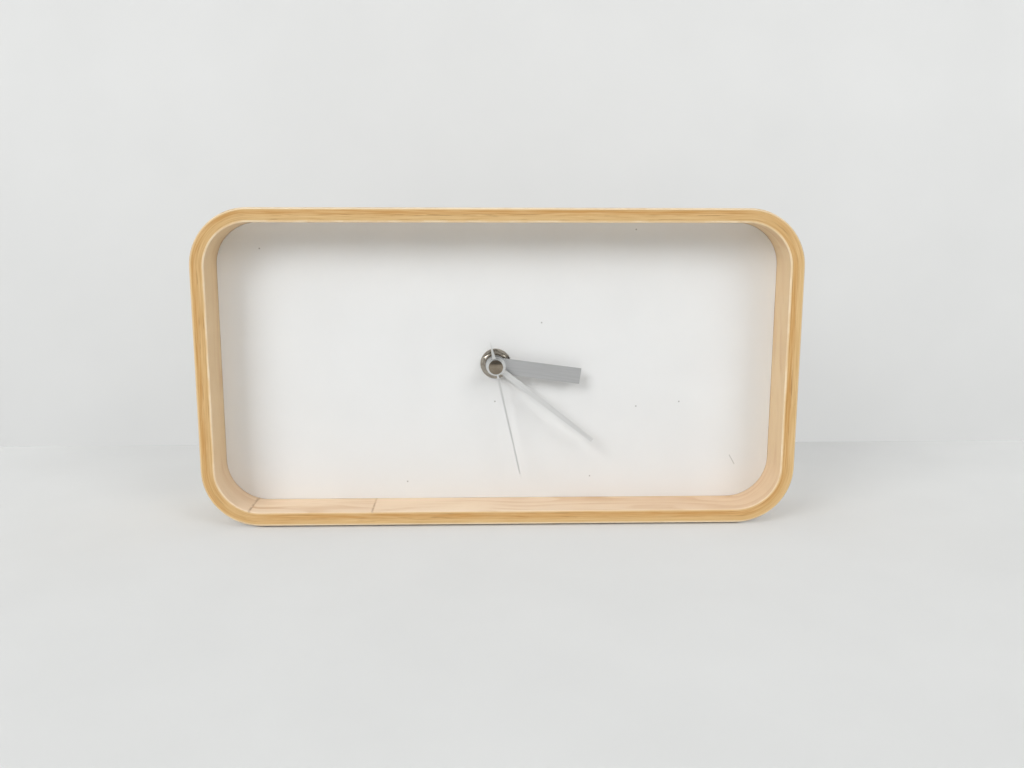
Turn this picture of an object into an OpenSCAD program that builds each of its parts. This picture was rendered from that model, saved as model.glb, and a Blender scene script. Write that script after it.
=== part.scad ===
// Bentwood desk clock: a bent laminated frame with a recessed white dial,
// three hands and a quartz movement that runs on one AA cell.
// Millimetres. X to the right seen from the front, front toward -Y, Z up, standing on Z = 0.

/* [Frame] */
// Overall width of the bent frame
frame_w = 250; // [220:1:320]
// Overall height of the bent frame
frame_h = 132.5; // [124:0.5:180]
// Depth from the front edge to the back edge
frame_d = 45; // [44:0.5:60]
// Thickness of the laminated wall
wall_t = 6; // [4:0.1:8]
// Outer radius of the four bends
bend_r = 24; // [16:0.5:36]
// Thickness of each face veneer
veneer_t = 1; // [0.6:0.05:1.2]
// Glue line between two plies
glue_line = 0.03; // [0.01:0.01:0.05]
// Radius sanded onto the veneer edges
edge_ease = 0.55; // [0.2:0.05:0.55]
// Place of the right seam in the inner veneer, left of the middle
seam_x = 54; // [30:1:70]
// Angle round the lower left bend at which the left seam lies
seam_turn = 15; // [5:1:30]
// Width of a seam in the inner veneer
seam_gap = 0.12; // [0.05:0.01:0.2]

/* [Dial] */
// Distance from the front edge back to the dial
recess_d = 19; // [15:0.5:20]
// Thickness of the white dial sheet
dial_sheet_t = 0.4; // [0.2:0.1:1]
// Thickness of the board behind the dial sheet
dial_board_t = 3; // [2:0.5:4]
// Gap all round between the dial and the frame
dial_gap = 0.1; // [0.05:0.01:0.3]
// Width of a batten across the dial's back
batten_w = 8; // [6:0.5:10]
// Depth of a batten behind the dial board
batten_d = 9; // [6:0.5:12]
// Distance a batten stops short of the bend
batten_stop = 6; // [2:0.5:12]

/* [Hub] */
// Place of the hub, to the right of the frame's middle
hub_x = -1.6; // [-3:0.1:3]
// Outside diameter of the threaded bushing
bushing_d = 7.8; // [7.4:0.1:8.2]
// Diameter of the flat washer
washer_d = 13; // [12:0.1:16]
// Thickness of the flat washer
washer_t = 0.7; // [0.4:0.1:1.2]
// Hex nut across flats
nut_af = 10.4; // [10:0.1:12]
// Hex nut height
nut_t = 2.2; // [1.6:0.1:3]
// Thread left showing in front of the nut
thread_proud = 1; // [0.6:0.1:1.5]
// Thread pitch on the bushing
thread_pitch = 0.75; // [0.5:0.05:1]
// Diameter of the rubber gasket behind the dial board
gasket_d = 20; // [16:0.5:26]
// Thickness of the rubber gasket
gasket_t = 0.6; // [0.4:0.1:1]

/* [Hands] */
// Hour hand length from the centre
hour_l = 36.6; // [30:0.2:42]
// Hour hand blade width
hour_w = 6.8; // [4:0.1:7.6]
// Diameter of the hour hand's round eye
hour_eye_d = 8.6; // [8:0.1:10]
// Hour hand angle, clockwise from twelve
hour_angle = 97.6; // [0:0.1:360]
// Minute hand length from the centre
minute_l = 52.8; // [44:0.2:56]
// Minute hand blade width at the eye
minute_root_w = 2.7; // [1.6:0.1:4]
// Minute hand blade width at the tip
minute_tip_w = 1.8; // [0.8:0.1:3]
// Diameter of the minute hand's round eye
minute_eye_d = 8.2; // [6:0.1:9]
// Minute hand angle, clockwise from twelve
minute_angle = 128; // [0:0.1:360]
// Second hand length from the centre
second_l = 47.8; // [40:0.2:54]
// Second hand tail length from the centre
second_tail = 10.8; // [6:0.2:16]
// Second hand needle width at the centre
second_w = 0.9; // [0.6:0.05:1.2]
// Second hand needle width at the tip
second_tip_w = 0.55; // [0.3:0.05:0.8]
// Second hand tail width at the centre
second_tail_w = 2; // [1.2:0.1:2.4]
// Second hand angle, clockwise from twelve
second_angle = 167.5; // [0:0.1:360]
// Diameter of the second hand's round eye
second_eye_d = 7.1; // [6.4:0.1:7.6]
// Diameter of the cap on the second hand
cap_d = 6.1; // [5:0.1:7]
// Height of the cap on the second hand
cap_t = 1.3; // [1:0.1:1.8]
// Sheet thickness of the hands
hand_t = 0.4; // [0.3:0.05:0.5]
// Height of the collet under the hour hand
hour_collet_h = 0.5; // [0.4:0.1:0.8]
// Height of the collet under the minute hand
minute_collet_h = 1.4; // [1:0.1:1.8]
// Height of the tube under the second hand
second_tube_h = 1.2; // [0.8:0.1:1.6]
// Free gap between one hand's stack and the next
hand_gap = 0.5; // [0.3:0.05:0.8]

/* [Cell] */
// Diameter of the AA cell
cell_d = 14.5; // [13.8:0.1:15]
// Length of the AA cell with its contact stud
cell_l = 50.5; // [49.6:0.1:51.5]
// Diameter of the cell's contact stud
stud_d = 5.4; // [4.5:0.1:6]
// Length of the cell's contact stud
stud_l = 1.2; // [1:0.1:1.5]
// Thickness of the cell's plastic sleeve
sleeve_t = 0.15; // [0.1:0.05:0.3]
// Gap round the cell in its bay
cell_gap = 0.3; // [0.2:0.05:0.5]
// Room for the two contacts beyond the cell's length
contact_room = 2.7; // [2.2:0.1:3.2]
// Thickness of the contact strip
contact_t = 0.4; // [0.3:0.05:0.5]
// Width of the contact strip at the cell's stud
contact_w = 8; // [6:0.5:10]
// Width of a contact strip's lead to the circuit board
lead_w = 3; // [2:0.5:4]
// Length of the bowed spring at the cell's flat end
bow_l = 10; // [8:0.5:12]
// Width of the bowed spring at the cell's flat end
bow_w = 6; // [4:0.5:8]

/* [Movement case] */
// Wall thickness of the movement case
case_wall = 1.4; // [1.2:0.1:1.8]
// Thickness of the movement's front cover
cover_t = 1.4; // [1.2:0.1:1.8]
// Thickness of the wall between wheels and cell
bay_wall = 1.2; // [1:0.1:1.6]
// Height of the movement case above the shaft
case_up = 28; // [25:0.5:32]
// Corner radius of the movement case
case_r = 4; // [3:0.5:6]
// Inside corner radius of the wheel chamber
chamber_r = 2; // [1:0.5:3]
// Thickness of a snap hook on the cover
hook_t = 0.8; // [0.6:0.05:0.9]
// Width of a snap hook on the cover
hook_w = 5; // [4:0.5:7]
// Length of a snap hook on the cover
hook_l = 6; // [5:0.5:8]
// Radius of the notch the cell is lifted out by
notch_r = 9; // [7:0.5:11]
// Diameter of the setting knob
knob_d = 11; // [9:0.5:12]
// Thickness of the setting knob
knob_t = 3.4; // [2.6:0.1:4]

/* [Wheels] */
// Distance between the arbors of the seconds, third and intermediate wheels
train_c = 9; // [8.6:0.1:9.6]
// Distance from the intermediate arbor to the rotor
rotor_c = 7; // [6.6:0.1:7.6]
// Gap between the setting stem and the centre wheel
stem_clear = 0.64; // [0.4:0.02:0.9]
// Gap between the intermediate wheel and the contact strip
strip_clear = 0.7; // [0.4:0.05:1]
// Radius of the second hand's arbor
arbor_r = 0.55; // [0.5:0.01:0.58]
// Outside radius of the minute pipe
minute_pipe_r = 1.7; // [1.5:0.05:1.75]
// Outside radius of the hour pipe
hour_pipe_r = 2.6; // [2.5:0.05:2.8]
// Radius of the setting stem
stem_r = 1.25; // [1:0.05:1.3]
// Thickness of a running wheel
wheel_t = 0.7; // [0.5:0.05:0.8]
// Thickness of a motion work wheel
motion_wheel_t = 0.9; // [0.7:0.05:1]
// Thickness of the middle plate
plate_t = 0.8; // [0.6:0.05:1]
// Free gap between two levels of wheels
level_gap = 0.4; // [0.35:0.05:0.45]
// Radial clearance of a turning arbor or pipe
run_gap = 0.07; // [0.04:0.01:0.09]
// Gap of a seated or pressed fit
seat_gap = 0.02; // [0.01:0.01:0.04]
// Amount taken off each tooth's thickness
tooth_thin = 0.05; // [0.04:0.005:0.06]
// Pressure angle of the teeth
tooth_angle = 20; // [18:0.5:22]

/* [Hidden] */
$fn = 64;

// Reach of a cutting shape past the face it cuts, and overlap of two shapes that join
over = 1;
bite = 0.2;

// Inside of the frame
inner_w = frame_w - 2 * wall_t;
inner_h = frame_h - 2 * wall_t;
inner_r = bend_r - wall_t;
frame_back = recess_d - frame_d;
bend_x = frame_w / 2 - bend_r;

// Dial stack, measured forward from the dial's front face
board_back = -dial_sheet_t - dial_board_t;
cover_front = board_back - gasket_t;
cover_back = cover_front - cover_t;
nut_front = washer_t + nut_t;
bushing_end = nut_front + thread_proud;
hole_gap = 0.2;
nut_chamfer = 0.35;
flange_w = 2;
thread_depth = 0.3;
thread_lead = 0.62;

// Hand stack
pipe_proud = 0.3;
collet_wall = 0.6;
hour_back = bushing_end + hand_gap;
hour_sheet = hour_back + hour_collet_h;
hour_pipe_end = hour_sheet + hand_t + pipe_proud;
minute_back = hour_pipe_end + hand_gap;
minute_sheet = minute_back + minute_collet_h;
minute_pipe_end = minute_sheet + hand_t + pipe_proud;
second_back = minute_pipe_end + hand_gap;
second_sheet = second_back + second_tube_h;
needle_t = 0.25;
cap_back = second_sheet + needle_t;
cap_rise = 0.45;
cap_bore = 0.55;
arbor_in_cap = 0.4;

// Tooth counts
cannon_n = 10;
setting_n = 30;
setting_pinion_n = 8;
hour_n = 32;
centre_n = 64;
third_pinion_n = 8;
third_n = 60;
second_pinion_n = 8;
second_n = 60;
inter_pinion_n = 12;
inter_n = 60;
rotor_pinion_n = 10;

// Wheel tip and pinion tip beyond the pitch circle and room left at a root, in modules
wheel_tip = 0.45;
pinion_tip = 1;
root_room = 0.25;

// Straight steps along a tooth flank
wheel_steps = 2;
pinion_steps = 3;

// Wheel centres in the plane of the dial, and modules from the centre distances
third_a = 150;
inter_a = -20;
rotor_a = 20;
setting_a = 60;
centre_m = 2 * train_c / (third_pinion_n + centre_n);
third_m = 2 * train_c / (second_pinion_n + third_n);
second_m = 2 * train_c / (inter_pinion_n + second_n);
inter_m = 2 * rotor_c / (rotor_pinion_n + inter_n);
motion_c = centre_m * (centre_n / 2 + wheel_tip) + stem_r + stem_clear;
cannon_m = 2 * motion_c / (cannon_n + setting_n);
hour_m = 2 * motion_c / (setting_pinion_n + hour_n);
third_p = train_c * [cos(third_a), sin(third_a)];
inter_p = train_c * [cos(inter_a), sin(inter_a)];
rotor_p = inter_p + rotor_c * [cos(rotor_a), sin(rotor_a)];
setting_p = motion_c * [cos(setting_a), sin(setting_a)];

// Movement case, sized round the cell and the wheels
bay_l = cell_l + contact_room;
bay_h = cell_d + 2 * cell_gap;
case_t = cover_t + bay_h;
case_back = cover_front - case_t;
floor_z = case_back + case_wall;
chamber_bottom = inter_p[1] - inter_m * (inter_n / 2 + wheel_tip) - strip_clear - contact_t;
chamber_top = case_up - case_wall;
bay_top = chamber_bottom - bay_wall;
bay_bottom = bay_top - bay_h;
case_w = bay_l + 2 * case_wall;
case_bottom = bay_bottom - case_wall;
case_top = case_up;
cell_y = (bay_top + bay_bottom) / 2;
cell_z = case_back + cell_gap + cell_d / 2;
contact_gap = 0.1;
cell_end = bay_l / 2 - contact_t - contact_gap;
slot_gap = 0.2;
hook_places = [0.28, 0.78];
mark_w = 0.5;
mark_l = 3;
mark_h = 0.25;
mark_in = 5;
mark_up = 2.4;
arrow_gap = 1.8;
arrow_l = 1.6;
arrow_w = 2.2;

// Setting knob, sunk a little into the case and pressed on its stem
knob_sink = 0.1;
knob_recess = 0.5;
knob_room = 0.8;
knob_skin = 0.9;
flute_n = 20;
flute_r = 0.7;
flute_out = 0.25;
groove_t = 0.4;
groove_w = 1.4;
groove_rim = 1.6;
stem_pivot_r = 0.6;
stem_pivot_l = 0.75;
stem_gap = 0.1;

// Levels behind the dial, from the cover backward
pinion_over = 0.2;
hour_f = cover_back - level_gap;
hour_b = hour_f - motion_wheel_t;
setting_f = hour_b - 2 * level_gap;
setting_b = setting_f - motion_wheel_t;
plate_f = setting_b - level_gap;
plate_b = plate_f - plate_t;
centre_f = plate_b - level_gap;
centre_b = centre_f - wheel_t;
boss_h = 0.6;
boss_top = floor_z + boss_h;
magnet_t = 1.8;
magnet_b = boss_top + level_gap;
magnet_f = magnet_b + magnet_t;
inter_b = magnet_f + level_gap;
inter_f = inter_b + wheel_t;
wheel_gap = (centre_b - inter_f - 2 * wheel_t) / 3;
third_f = centre_b - wheel_gap;
third_b = third_f - wheel_t;
second_f = third_b - wheel_gap;
second_b = second_f - wheel_t;

// Pivots of the train
spindle_r = 0.6;
pivot_r = 0.35;
boss_r = 1.3;
pivot_hole = 0.8;
pivot_slack = 0.2;
pivot_in = 0.1;
end_shake = 0.15;
pivot_end = boss_top - pivot_hole;
collar_gap = 0.1;
collar_t = 0.35;
collar_w = 0.5;

// Motor and circuit board
magnet_r = 3;
stator_t = 0.8;
stator_f = (magnet_f + magnet_b + stator_t) / 2;
stator_b = stator_f - stator_t;
air_gap = 0.6;
stator_bore = magnet_r + air_gap;
stator_eye = rotor_c - spindle_r - air_gap;
limb_w = 3;
limb_gap = 0.5;
limb_out = rotor_p[0] - setting_p[0] - stem_r - limb_gap;
limb_in = limb_out - limb_w;
coil_room = 3.6;
limb_top = chamber_top - coil_room;
coil_w = 2.4;
coil_drop = 0.8;
coil_y = limb_top - coil_w / 2 - coil_drop;
coil_z = stator_f + stator_t / 2;
coil_gap = 0.3;
coil_l = 2 * (limb_in - coil_gap);
floor_gap = 0.15;
bobbin_r = coil_z - floor_z - floor_gap;
bobbin_end_t = 0.6;
bobbin_lip = 0.2;
winding_t = 0.7;
winding_gap = 0.05;
tube_r = bobbin_r - bobbin_lip - winding_t;
stator_post_up = 12.5;
stator_post_r = 1.2;
pcb_t = 1;
pcb_up = 2;
pcb_gap = 0.2;
pcb_low_gap = 0.5;
pcb_top_gap = 1.1;
pcb_b = floor_z + pcb_up;
pcb_f = pcb_b + pcb_t;
pcb_x = bay_l / 2 - contact_t - pcb_gap;
pcb_w = 7.5;
pcb_bottom = chamber_bottom + contact_t + pcb_low_gap;
pcb_l = chamber_top - pcb_bottom - pcb_top_gap;
pcb_post_r = 1.5;
pcb_post_in = 4.5;
chip_r = 2.6;
chip_rise = 1.1;
chip_up = 12;
crystal_r = 1.5;
crystal_l = 8;
crystal_up = 25;
post_r = 1.3;
post_gap_left = 2.2;
post_gap_right = 0.3;
post_gap_low = 0.1;
post_gap_high = 0.5;
post_left = -pcb_x + pcb_w + post_r + post_gap_left;
post_right = bay_l / 2 - post_r - post_gap_right;
post_low = chamber_bottom + contact_t + post_r + post_gap_low;
post_high = chamber_top - post_r - post_gap_high;
posts = [
    [post_left, post_high],
    [post_left, post_low],
    [post_right, post_high],
    [post_right, post_low]
];

// Middle plate
plate_gap = 0.4;
plate_rim = 1.7;
plate_r = 1.5;

// Cell contacts and the cell's sleeve
contact_rise = 1;
foot_in = 0.5;
pad_l = 2;
can_gap = 0.05;
sleeve_short = 0.1;
sleeve_gap = 0.03;
sleeve_fold = 0.22;
sleeve_lip = 1.2;

// Upright at the middle of the frame: local Z comes forward out of the dial, local zero on its face
module on_dial() {
    translate([0, recess_d - frame_d / 2, frame_h / 2])
        rotate([90, 0, 0])
            children();
}

// The same, moved sideways onto the axis of the hub
module at_hub() {
    on_dial()
        translate([hub_x, 0, 0])
            children();
}

// A disc or ring between two levels
module ring(back, front, outer, inner = 0) {
    translate([0, 0, back])
        linear_extrude(front - back)
            difference() {
                circle(outer);
                if (inner > 0) circle(inner);
            }
}

// A box between two corners
module block(a, b) {
    translate(a)
        cube(b - a);
}

// A rectangle with round corners, drawn in the plane
module round_rect(w, h, r) {
    square([w - 2 * r, h], center = true);
    square([w, h - 2 * r], center = true);
    for (x = [-1, 1], y = [-1, 1])
        translate([x * (w / 2 - r), y * (h / 2 - r)])
            circle(r);
}

// Sweep of a profile round the frame; profile X runs outward from the bend centre
module round_the_frame() {
    for (q = [0 : 3]) {
        run = (q % 2 == 0 ? frame_w : frame_h) - 2 * bend_r;
        out = (q % 2 == 0 ? frame_h : frame_w) - 2 * bend_r;
        rotate([0, 0, 90 * q]) {
            translate([-run / 2, out / 2, 0])
                rotate([90, 0, 90])
                    linear_extrude(run)
                        children();
            translate([run / 2, out / 2, 0])
                rotate_extrude(angle = 90)
                    children();
        }
    }
}

// Section of one ply from depth a to depth b below the outer face, edges eased on one side
module ply_section(a, b, ease_outer, ease_inner) {
    length = frame_d;
    difference() {
        translate([bend_r - b, frame_back])
            square([b - a, length]);
        for (edge = [0, 1]) {
            y = frame_back + edge * length;
            turn = edge == 0 ? 1 : -1;
            if (ease_outer > 0)
                translate([bend_r - a, y]) {
                    difference() {
                        translate([-ease_outer, edge == 0 ? 0 : -ease_outer])
                            square(ease_outer);
                        translate([-ease_outer, turn * ease_outer])
                            circle(ease_outer);
                    }
                }
            if (ease_inner > 0)
                translate([bend_r - b, y]) {
                    difference() {
                        translate([0, edge == 0 ? 0 : -ease_inner])
                            square(ease_inner);
                        translate([ease_inner, turn * ease_inner])
                            circle(ease_inner);
                    }
                }
        }
    }
}

// Half the angle of a tooth at a radius, from the involute of its base circle
function involute(a) = tan(a) - a * PI / 180;
function tooth_half(rho, m, n) =
    let (base = m * n / 2 * cos(tooth_angle))
    let (a = rho > base ? acos(base / rho) : 0)
    ((PI * m / 2 - tooth_thin) / (m * n) + involute(tooth_angle) - involute(a)) * 180 / PI;
function tooth_radii(root, tip, base, steps) =
    let (start = max(root, base))
    concat(root < base ? [root] : [], [for (k = [0 : steps]) start + (tip - start) * k / steps]);

// A toothed disc with a tooth centred on +X; tip and root are given in modules
module toothed(n, m, back, front, tip, root, steps) {
    pitch = m * n / 2;
    radii = tooth_radii(pitch - root * m, pitch + tip * m, pitch * cos(tooth_angle), steps);
    last = len(radii) - 1;
    translate([0, 0, back])
        linear_extrude(front - back)
            polygon([
                for (i = [0 : n - 1])
                    for (k = [0 : 2 * last + 1])
                        let (rho = radii[k <= last ? k : 2 * last + 1 - k])
                        let (half = tooth_half(rho, m, n))
                        let (a = i * 360 / n + (k <= last ? -half : half))
                        [rho * cos(a), rho * sin(a)]
            ]);
}

module wheel(n, m, back, front) {
    toothed(n, m, back, front, wheel_tip, pinion_tip + root_room, wheel_steps);
}

module pinion(n, m, back, front) {
    toothed(
        n, m, back - pinion_over, front + pinion_over,
        pinion_tip, wheel_tip + root_room, pinion_steps
    );
}

// Turn that puts a tooth gap toward a direction
function gap_toward(direction, n) = direction + 180 / n;

// Shaft of a train wheel with a pivot in the middle plate and one in a boss on the case floor
module spindle() {
    ring(boss_top + end_shake, plate_b - end_shake, spindle_r);
    ring(pivot_end + pivot_slack, plate_f - pivot_in, pivot_r);
}

module outer_veneer() {
    color("#d9b27c")
        on_dial()
            round_the_frame()
                ply_section(0, veneer_t, edge_ease, 0);
}

module ply_core() {
    color("#c99e63")
        on_dial()
            round_the_frame()
                ply_section(veneer_t + glue_line, wall_t - veneer_t - glue_line, 0, 0);
}

module inner_section() {
    ply_section(wall_t - veneer_t, wall_t, 0, edge_ease);
}

// Stretch along the bottom that the short strip takes, drawn in by a gap at both seams
module strip_run(gap) {
    bend_y = bend_r - frame_h / 2;
    turn = seam_turn - gap / inner_r * 180 / PI;
    translate([0, 0, frame_back - over])
        linear_extrude(frame_d + 2 * over)
            polygon([
                [-bend_x, bend_y],
                [-bend_x - (frame_h + bend_y) * tan(turn), -frame_h],
                [-seam_x - gap, -frame_h],
                [-seam_x - gap, bend_y]
            ]);
}

// Inner face veneer, open along the bottom between its two seams
module inner_veneer() {
    color("#e0bf90")
        on_dial()
            difference() {
                round_the_frame()
                    inner_section();
                strip_run(0);
            }
}

// Short strip that closes the inner veneer
module inner_patch() {
    color("#e0bf90")
        on_dial()
            intersection() {
                round_the_frame()
                    inner_section();
                strip_run(seam_gap);
            }
}

module dial_panel(back, front) {
    translate([0, 0, back])
        linear_extrude(front - back)
            difference() {
                round_rect(inner_w - 2 * dial_gap, inner_h - 2 * dial_gap, inner_r - dial_gap);
                translate([hub_x, 0])
                    circle(bushing_d / 2 + hole_gap);
            }
}

module dial_sheet() {
    color("#ecebe6")
        on_dial()
            dial_panel(-dial_sheet_t, 0);
}

module dial_board() {
    color("#a98a63")
        on_dial()
            dial_panel(board_back, -dial_sheet_t);
}

// One batten along a straight side of the frame, against the dial board and the inner veneer
module batten(side, span, out) {
    color("#d2b07d")
        on_dial()
            rotate([0, 0, side])
                block(
                    [-span / 2, out / 2 - batten_w, board_back - batten_d],
                    [span / 2, out / 2, board_back]
                );
}

module batten_top() {
    batten(0, inner_w - 2 * inner_r - 2 * batten_stop, inner_h);
}

module batten_left() {
    batten(90, inner_h - 2 * inner_r - 2 * batten_stop, inner_w);
}

module batten_bottom() {
    batten(180, inner_w - 2 * inner_r - 2 * batten_stop, inner_h);
}

module batten_right() {
    batten(270, inner_h - 2 * inner_r - 2 * batten_stop, inner_w);
}

module washer() {
    color("#8d8a84")
        at_hub()
            ring(0, washer_t, washer_d / 2, bushing_d / 2 + hole_gap);
}

// Hex nut with a point up, both ends chamfered by a turned cone
module hex_nut() {
    r = nut_af / 2 / cos(30);
    color("#8d8a84")
        at_hub()
            difference() {
                intersection() {
                    translate([0, 0, washer_t])
                        rotate([0, 0, 30])
                            cylinder(r = r, h = nut_t, $fn = 6);
                    rotate_extrude()
                        polygon([
                            [0, washer_t],
                            [nut_af / 2, washer_t],
                            [r, washer_t + nut_chamfer],
                            [r, nut_front - nut_chamfer],
                            [nut_af / 2, nut_front],
                            [0, nut_front]
                        ]);
                }
                cylinder(r = bushing_d / 2 + seat_gap, h = nut_front + over);
            }
}

// Threaded brass tube with a flange moulded into the cover, thread cut as rings
module bushing() {
    r = bushing_d / 2;
    turns = floor((thread_proud - thread_lead) / thread_pitch) + 1;
    color("#b8974f")
        at_hub()
            rotate_extrude()
                difference() {
                    union() {
                        translate([hour_pipe_r + run_gap, cover_back])
                            square([r - hour_pipe_r - run_gap, bushing_end - cover_back]);
                        translate([hour_pipe_r + run_gap, cover_back])
                            square([r + flange_w - hour_pipe_r - run_gap, cover_t / 2]);
                    }
                    polygon([
                        [r + bite, bushing_end - thread_depth - bite],
                        [r - thread_depth - bite, bushing_end + bite],
                        [r + bite, bushing_end + bite]
                    ]);
                    for (i = [1 : turns])
                        translate([r, bushing_end - thread_lead - (i - 1) * thread_pitch])
                            polygon([
                                [bite, -thread_depth - bite],
                                [-thread_depth, 0],
                                [bite, thread_depth + bite]
                            ]);
                }
}

module gasket() {
    color("#2b2b2b")
        at_hub()
            ring(cover_front, board_back, gasket_d / 2, bushing_d / 2 + hole_gap);
}

module hour_hand() {
    bore = hour_pipe_r + seat_gap;
    color("#a7a8a6")
        at_hub()
            rotate([0, 0, -hour_angle]) {
                translate([0, 0, hour_sheet])
                    linear_extrude(hand_t)
                        difference() {
                            union() {
                                circle(d = hour_eye_d);
                                translate([-hour_w / 2, 0])
                                    square([hour_w, hour_l]);
                            }
                            circle(bore);
                        }
                ring(hour_back, hour_sheet, bore + collet_wall, bore);
            }
}

module minute_hand() {
    bore = minute_pipe_r + seat_gap;
    color("#c9cac8")
        at_hub()
            rotate([0, 0, -minute_angle]) {
                translate([0, 0, minute_sheet])
                    linear_extrude(hand_t)
                        difference() {
                            union() {
                                circle(d = minute_eye_d);
                                polygon([
                                    [-minute_root_w / 2, 0],
                                    [minute_root_w / 2, 0],
                                    [minute_tip_w / 2, minute_l],
                                    [-minute_tip_w / 2, minute_l]
                                ]);
                            }
                            circle(bore);
                        }
                ring(minute_back, minute_sheet, bore + collet_wall, bore);
            }
}

module second_hand() {
    bore = arbor_r + seat_gap;
    color("#bdbebc")
        at_hub()
            rotate([0, 0, -second_angle]) {
                translate([0, 0, second_sheet])
                    linear_extrude(needle_t)
                        difference() {
                            union() {
                                circle(d = second_eye_d);
                                polygon([
                                    [-second_w / 2, 0],
                                    [second_w / 2, 0],
                                    [second_tip_w / 2, second_l],
                                    [-second_tip_w / 2, second_l]
                                ]);
                                polygon([
                                    [-second_tail_w / 2, 0],
                                    [-second_tip_w / 4, -second_tail],
                                    [second_tip_w / 4, -second_tail],
                                    [second_tail_w / 2, 0]
                                ]);
                            }
                            circle(bore);
                        }
                ring(second_back, second_sheet, bore + collet_wall, bore);
            }
}

// Turned cap with a slightly domed front
module second_cap() {
    r = cap_d / 2;
    dome = (r * r + cap_rise * cap_rise) / (2 * cap_rise);
    color("#9a9284")
        at_hub()
            difference() {
                rotate_extrude()
                    intersection() {
                        translate([0, cap_back])
                            square([r, cap_t]);
                        translate([0, cap_back + cap_t - dome])
                            circle(dome);
                    }
                ring(cap_back - over, cap_back + cap_bore, arbor_r + seat_gap);
            }
}

// Outline of the movement case
module case_outline() {
    translate([0, (case_top + case_bottom) / 2])
        round_rect(case_w, case_top - case_bottom, case_r);
}

// Room for the four snap hooks, on the two upright sides of the case
module hooks(slack) {
    for (x = [-1, 1], y = hook_places)
        translate([x * case_w / 2, case_bottom + y * (case_top - case_bottom), cover_back - hook_l / 2])
            cube([2 * (hook_t + slack), hook_w + 2 * slack, hook_l + 2 * slack], center = true);
}

module movement_cover() {
    color("#232323")
        at_hub()
            difference() {
                union() {
                    translate([0, 0, cover_back])
                        linear_extrude(cover_t)
                            case_outline();
                    for (p = posts)
                        translate(p)
                            ring(plate_f, cover_back + bite, post_r);
                    intersection() {
                        hooks(0);
                        translate([0, 0, cover_back - 2 * hook_l])
                            linear_extrude(3 * hook_l)
                                case_outline();
                    }
                }
                ring(cover_back - over, cover_front + over, bushing_d / 2 + seat_gap);
                ring(
                    cover_back - over,
                    cover_back + cover_t / 2 + seat_gap,
                    bushing_d / 2 + flange_w + seat_gap
                );
                translate(setting_p)
                    ring(
                        cover_back - over,
                        cover_back + stem_pivot_l + end_shake,
                        stem_pivot_r + run_gap
                    );
            }
}

// Raised marks on the back of the case: plus and minus beside the bay, an arrow round the knob
module case_marks() {
    x = bay_l / 2 - mark_in;
    y = chamber_bottom + mark_up;
    arrow_r = knob_d / 2 + arrow_gap;
    translate([x, y]) {
        square([mark_l, mark_w], center = true);
        square([mark_w, mark_l], center = true);
    }
    translate([-x, y])
        square([mark_l, mark_w], center = true);
    translate(setting_p) {
        difference() {
            circle(arrow_r + mark_w / 2);
            circle(arrow_r - mark_w / 2);
            translate([-2 * arrow_r, -2 * arrow_r])
                square([2 * arrow_r, 4 * arrow_r]);
            translate([-2 * arrow_r, -2 * arrow_r])
                square([4 * arrow_r, 2 * arrow_r]);
        }
        translate([0, arrow_r])
            polygon([[bite, arrow_w / 2], [-arrow_l, 0], [bite, -arrow_w / 2]]);
    }
}

// Moulded case: wheel chamber closed by the cover, cell bay open at the back
module movement_case() {
    color("#1f1f1f")
        at_hub()
            difference() {
                union() {
                    difference() {
                        translate([0, 0, case_back])
                            linear_extrude(cover_back - case_back)
                                case_outline();
                        translate([0, (chamber_top + chamber_bottom) / 2, floor_z])
                            linear_extrude(case_t)
                                round_rect(bay_l, chamber_top - chamber_bottom, chamber_r);
                        block(
                            [-bay_l / 2, bay_bottom, case_back - over],
                            [bay_l / 2, bay_top, cover_back + over]
                        );
                    }
                    for (p = posts)
                        translate(p)
                            ring(floor_z - bite, plate_b, post_r);
                    for (p = [[0, 0], third_p, inter_p, rotor_p])
                        translate(p)
                            ring(floor_z - bite, boss_top, boss_r);
                    for (x = [-1, 1])
                        translate(rotor_p + [x * (limb_out - limb_w / 2), stator_post_up])
                            ring(floor_z - bite, stator_b, stator_post_r);
                    for (y = [pcb_post_in, pcb_l - pcb_post_in])
                        translate([-pcb_x + pcb_w / 2, pcb_bottom + y])
                            ring(floor_z - bite, pcb_b, pcb_post_r);
                    translate([0, 0, case_back - mark_h])
                        linear_extrude(2 * mark_h)
                            case_marks();
                }
                hooks(seat_gap);
                // pivot holes in the bosses
                ring(pivot_end, boss_top + over, arbor_r + run_gap);
                for (p = [third_p, inter_p, rotor_p])
                    translate(p)
                        ring(pivot_end, boss_top + over, pivot_r + run_gap);
                // hole for the setting stem, and the round recess the knob turns in
                translate(setting_p) {
                    ring(case_back - over, floor_z + over, stem_r + run_gap);
                    ring(case_back - over, case_back + knob_recess, knob_d / 2 + knob_room);
                }
                // slots that let the contact strips through to the circuit board
                for (x = [-1, 1])
                    translate([
                        x * (bay_l - chamber_r) / 2,
                        (bay_top + chamber_bottom + chamber_r) / 2,
                        pcb_f + lead_w / 2
                    ])
                        cube(
                            [chamber_r, bay_wall + chamber_r + 2 * slot_gap, lead_w + 2 * slot_gap],
                            center = true
                        );
                // half round notch to lift the cell out by
                translate([0, case_bottom + case_wall / 2, case_back])
                    rotate([90, 0, 0])
                        cylinder(r = notch_r, h = case_wall + over, center = true);
            }
}

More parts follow.
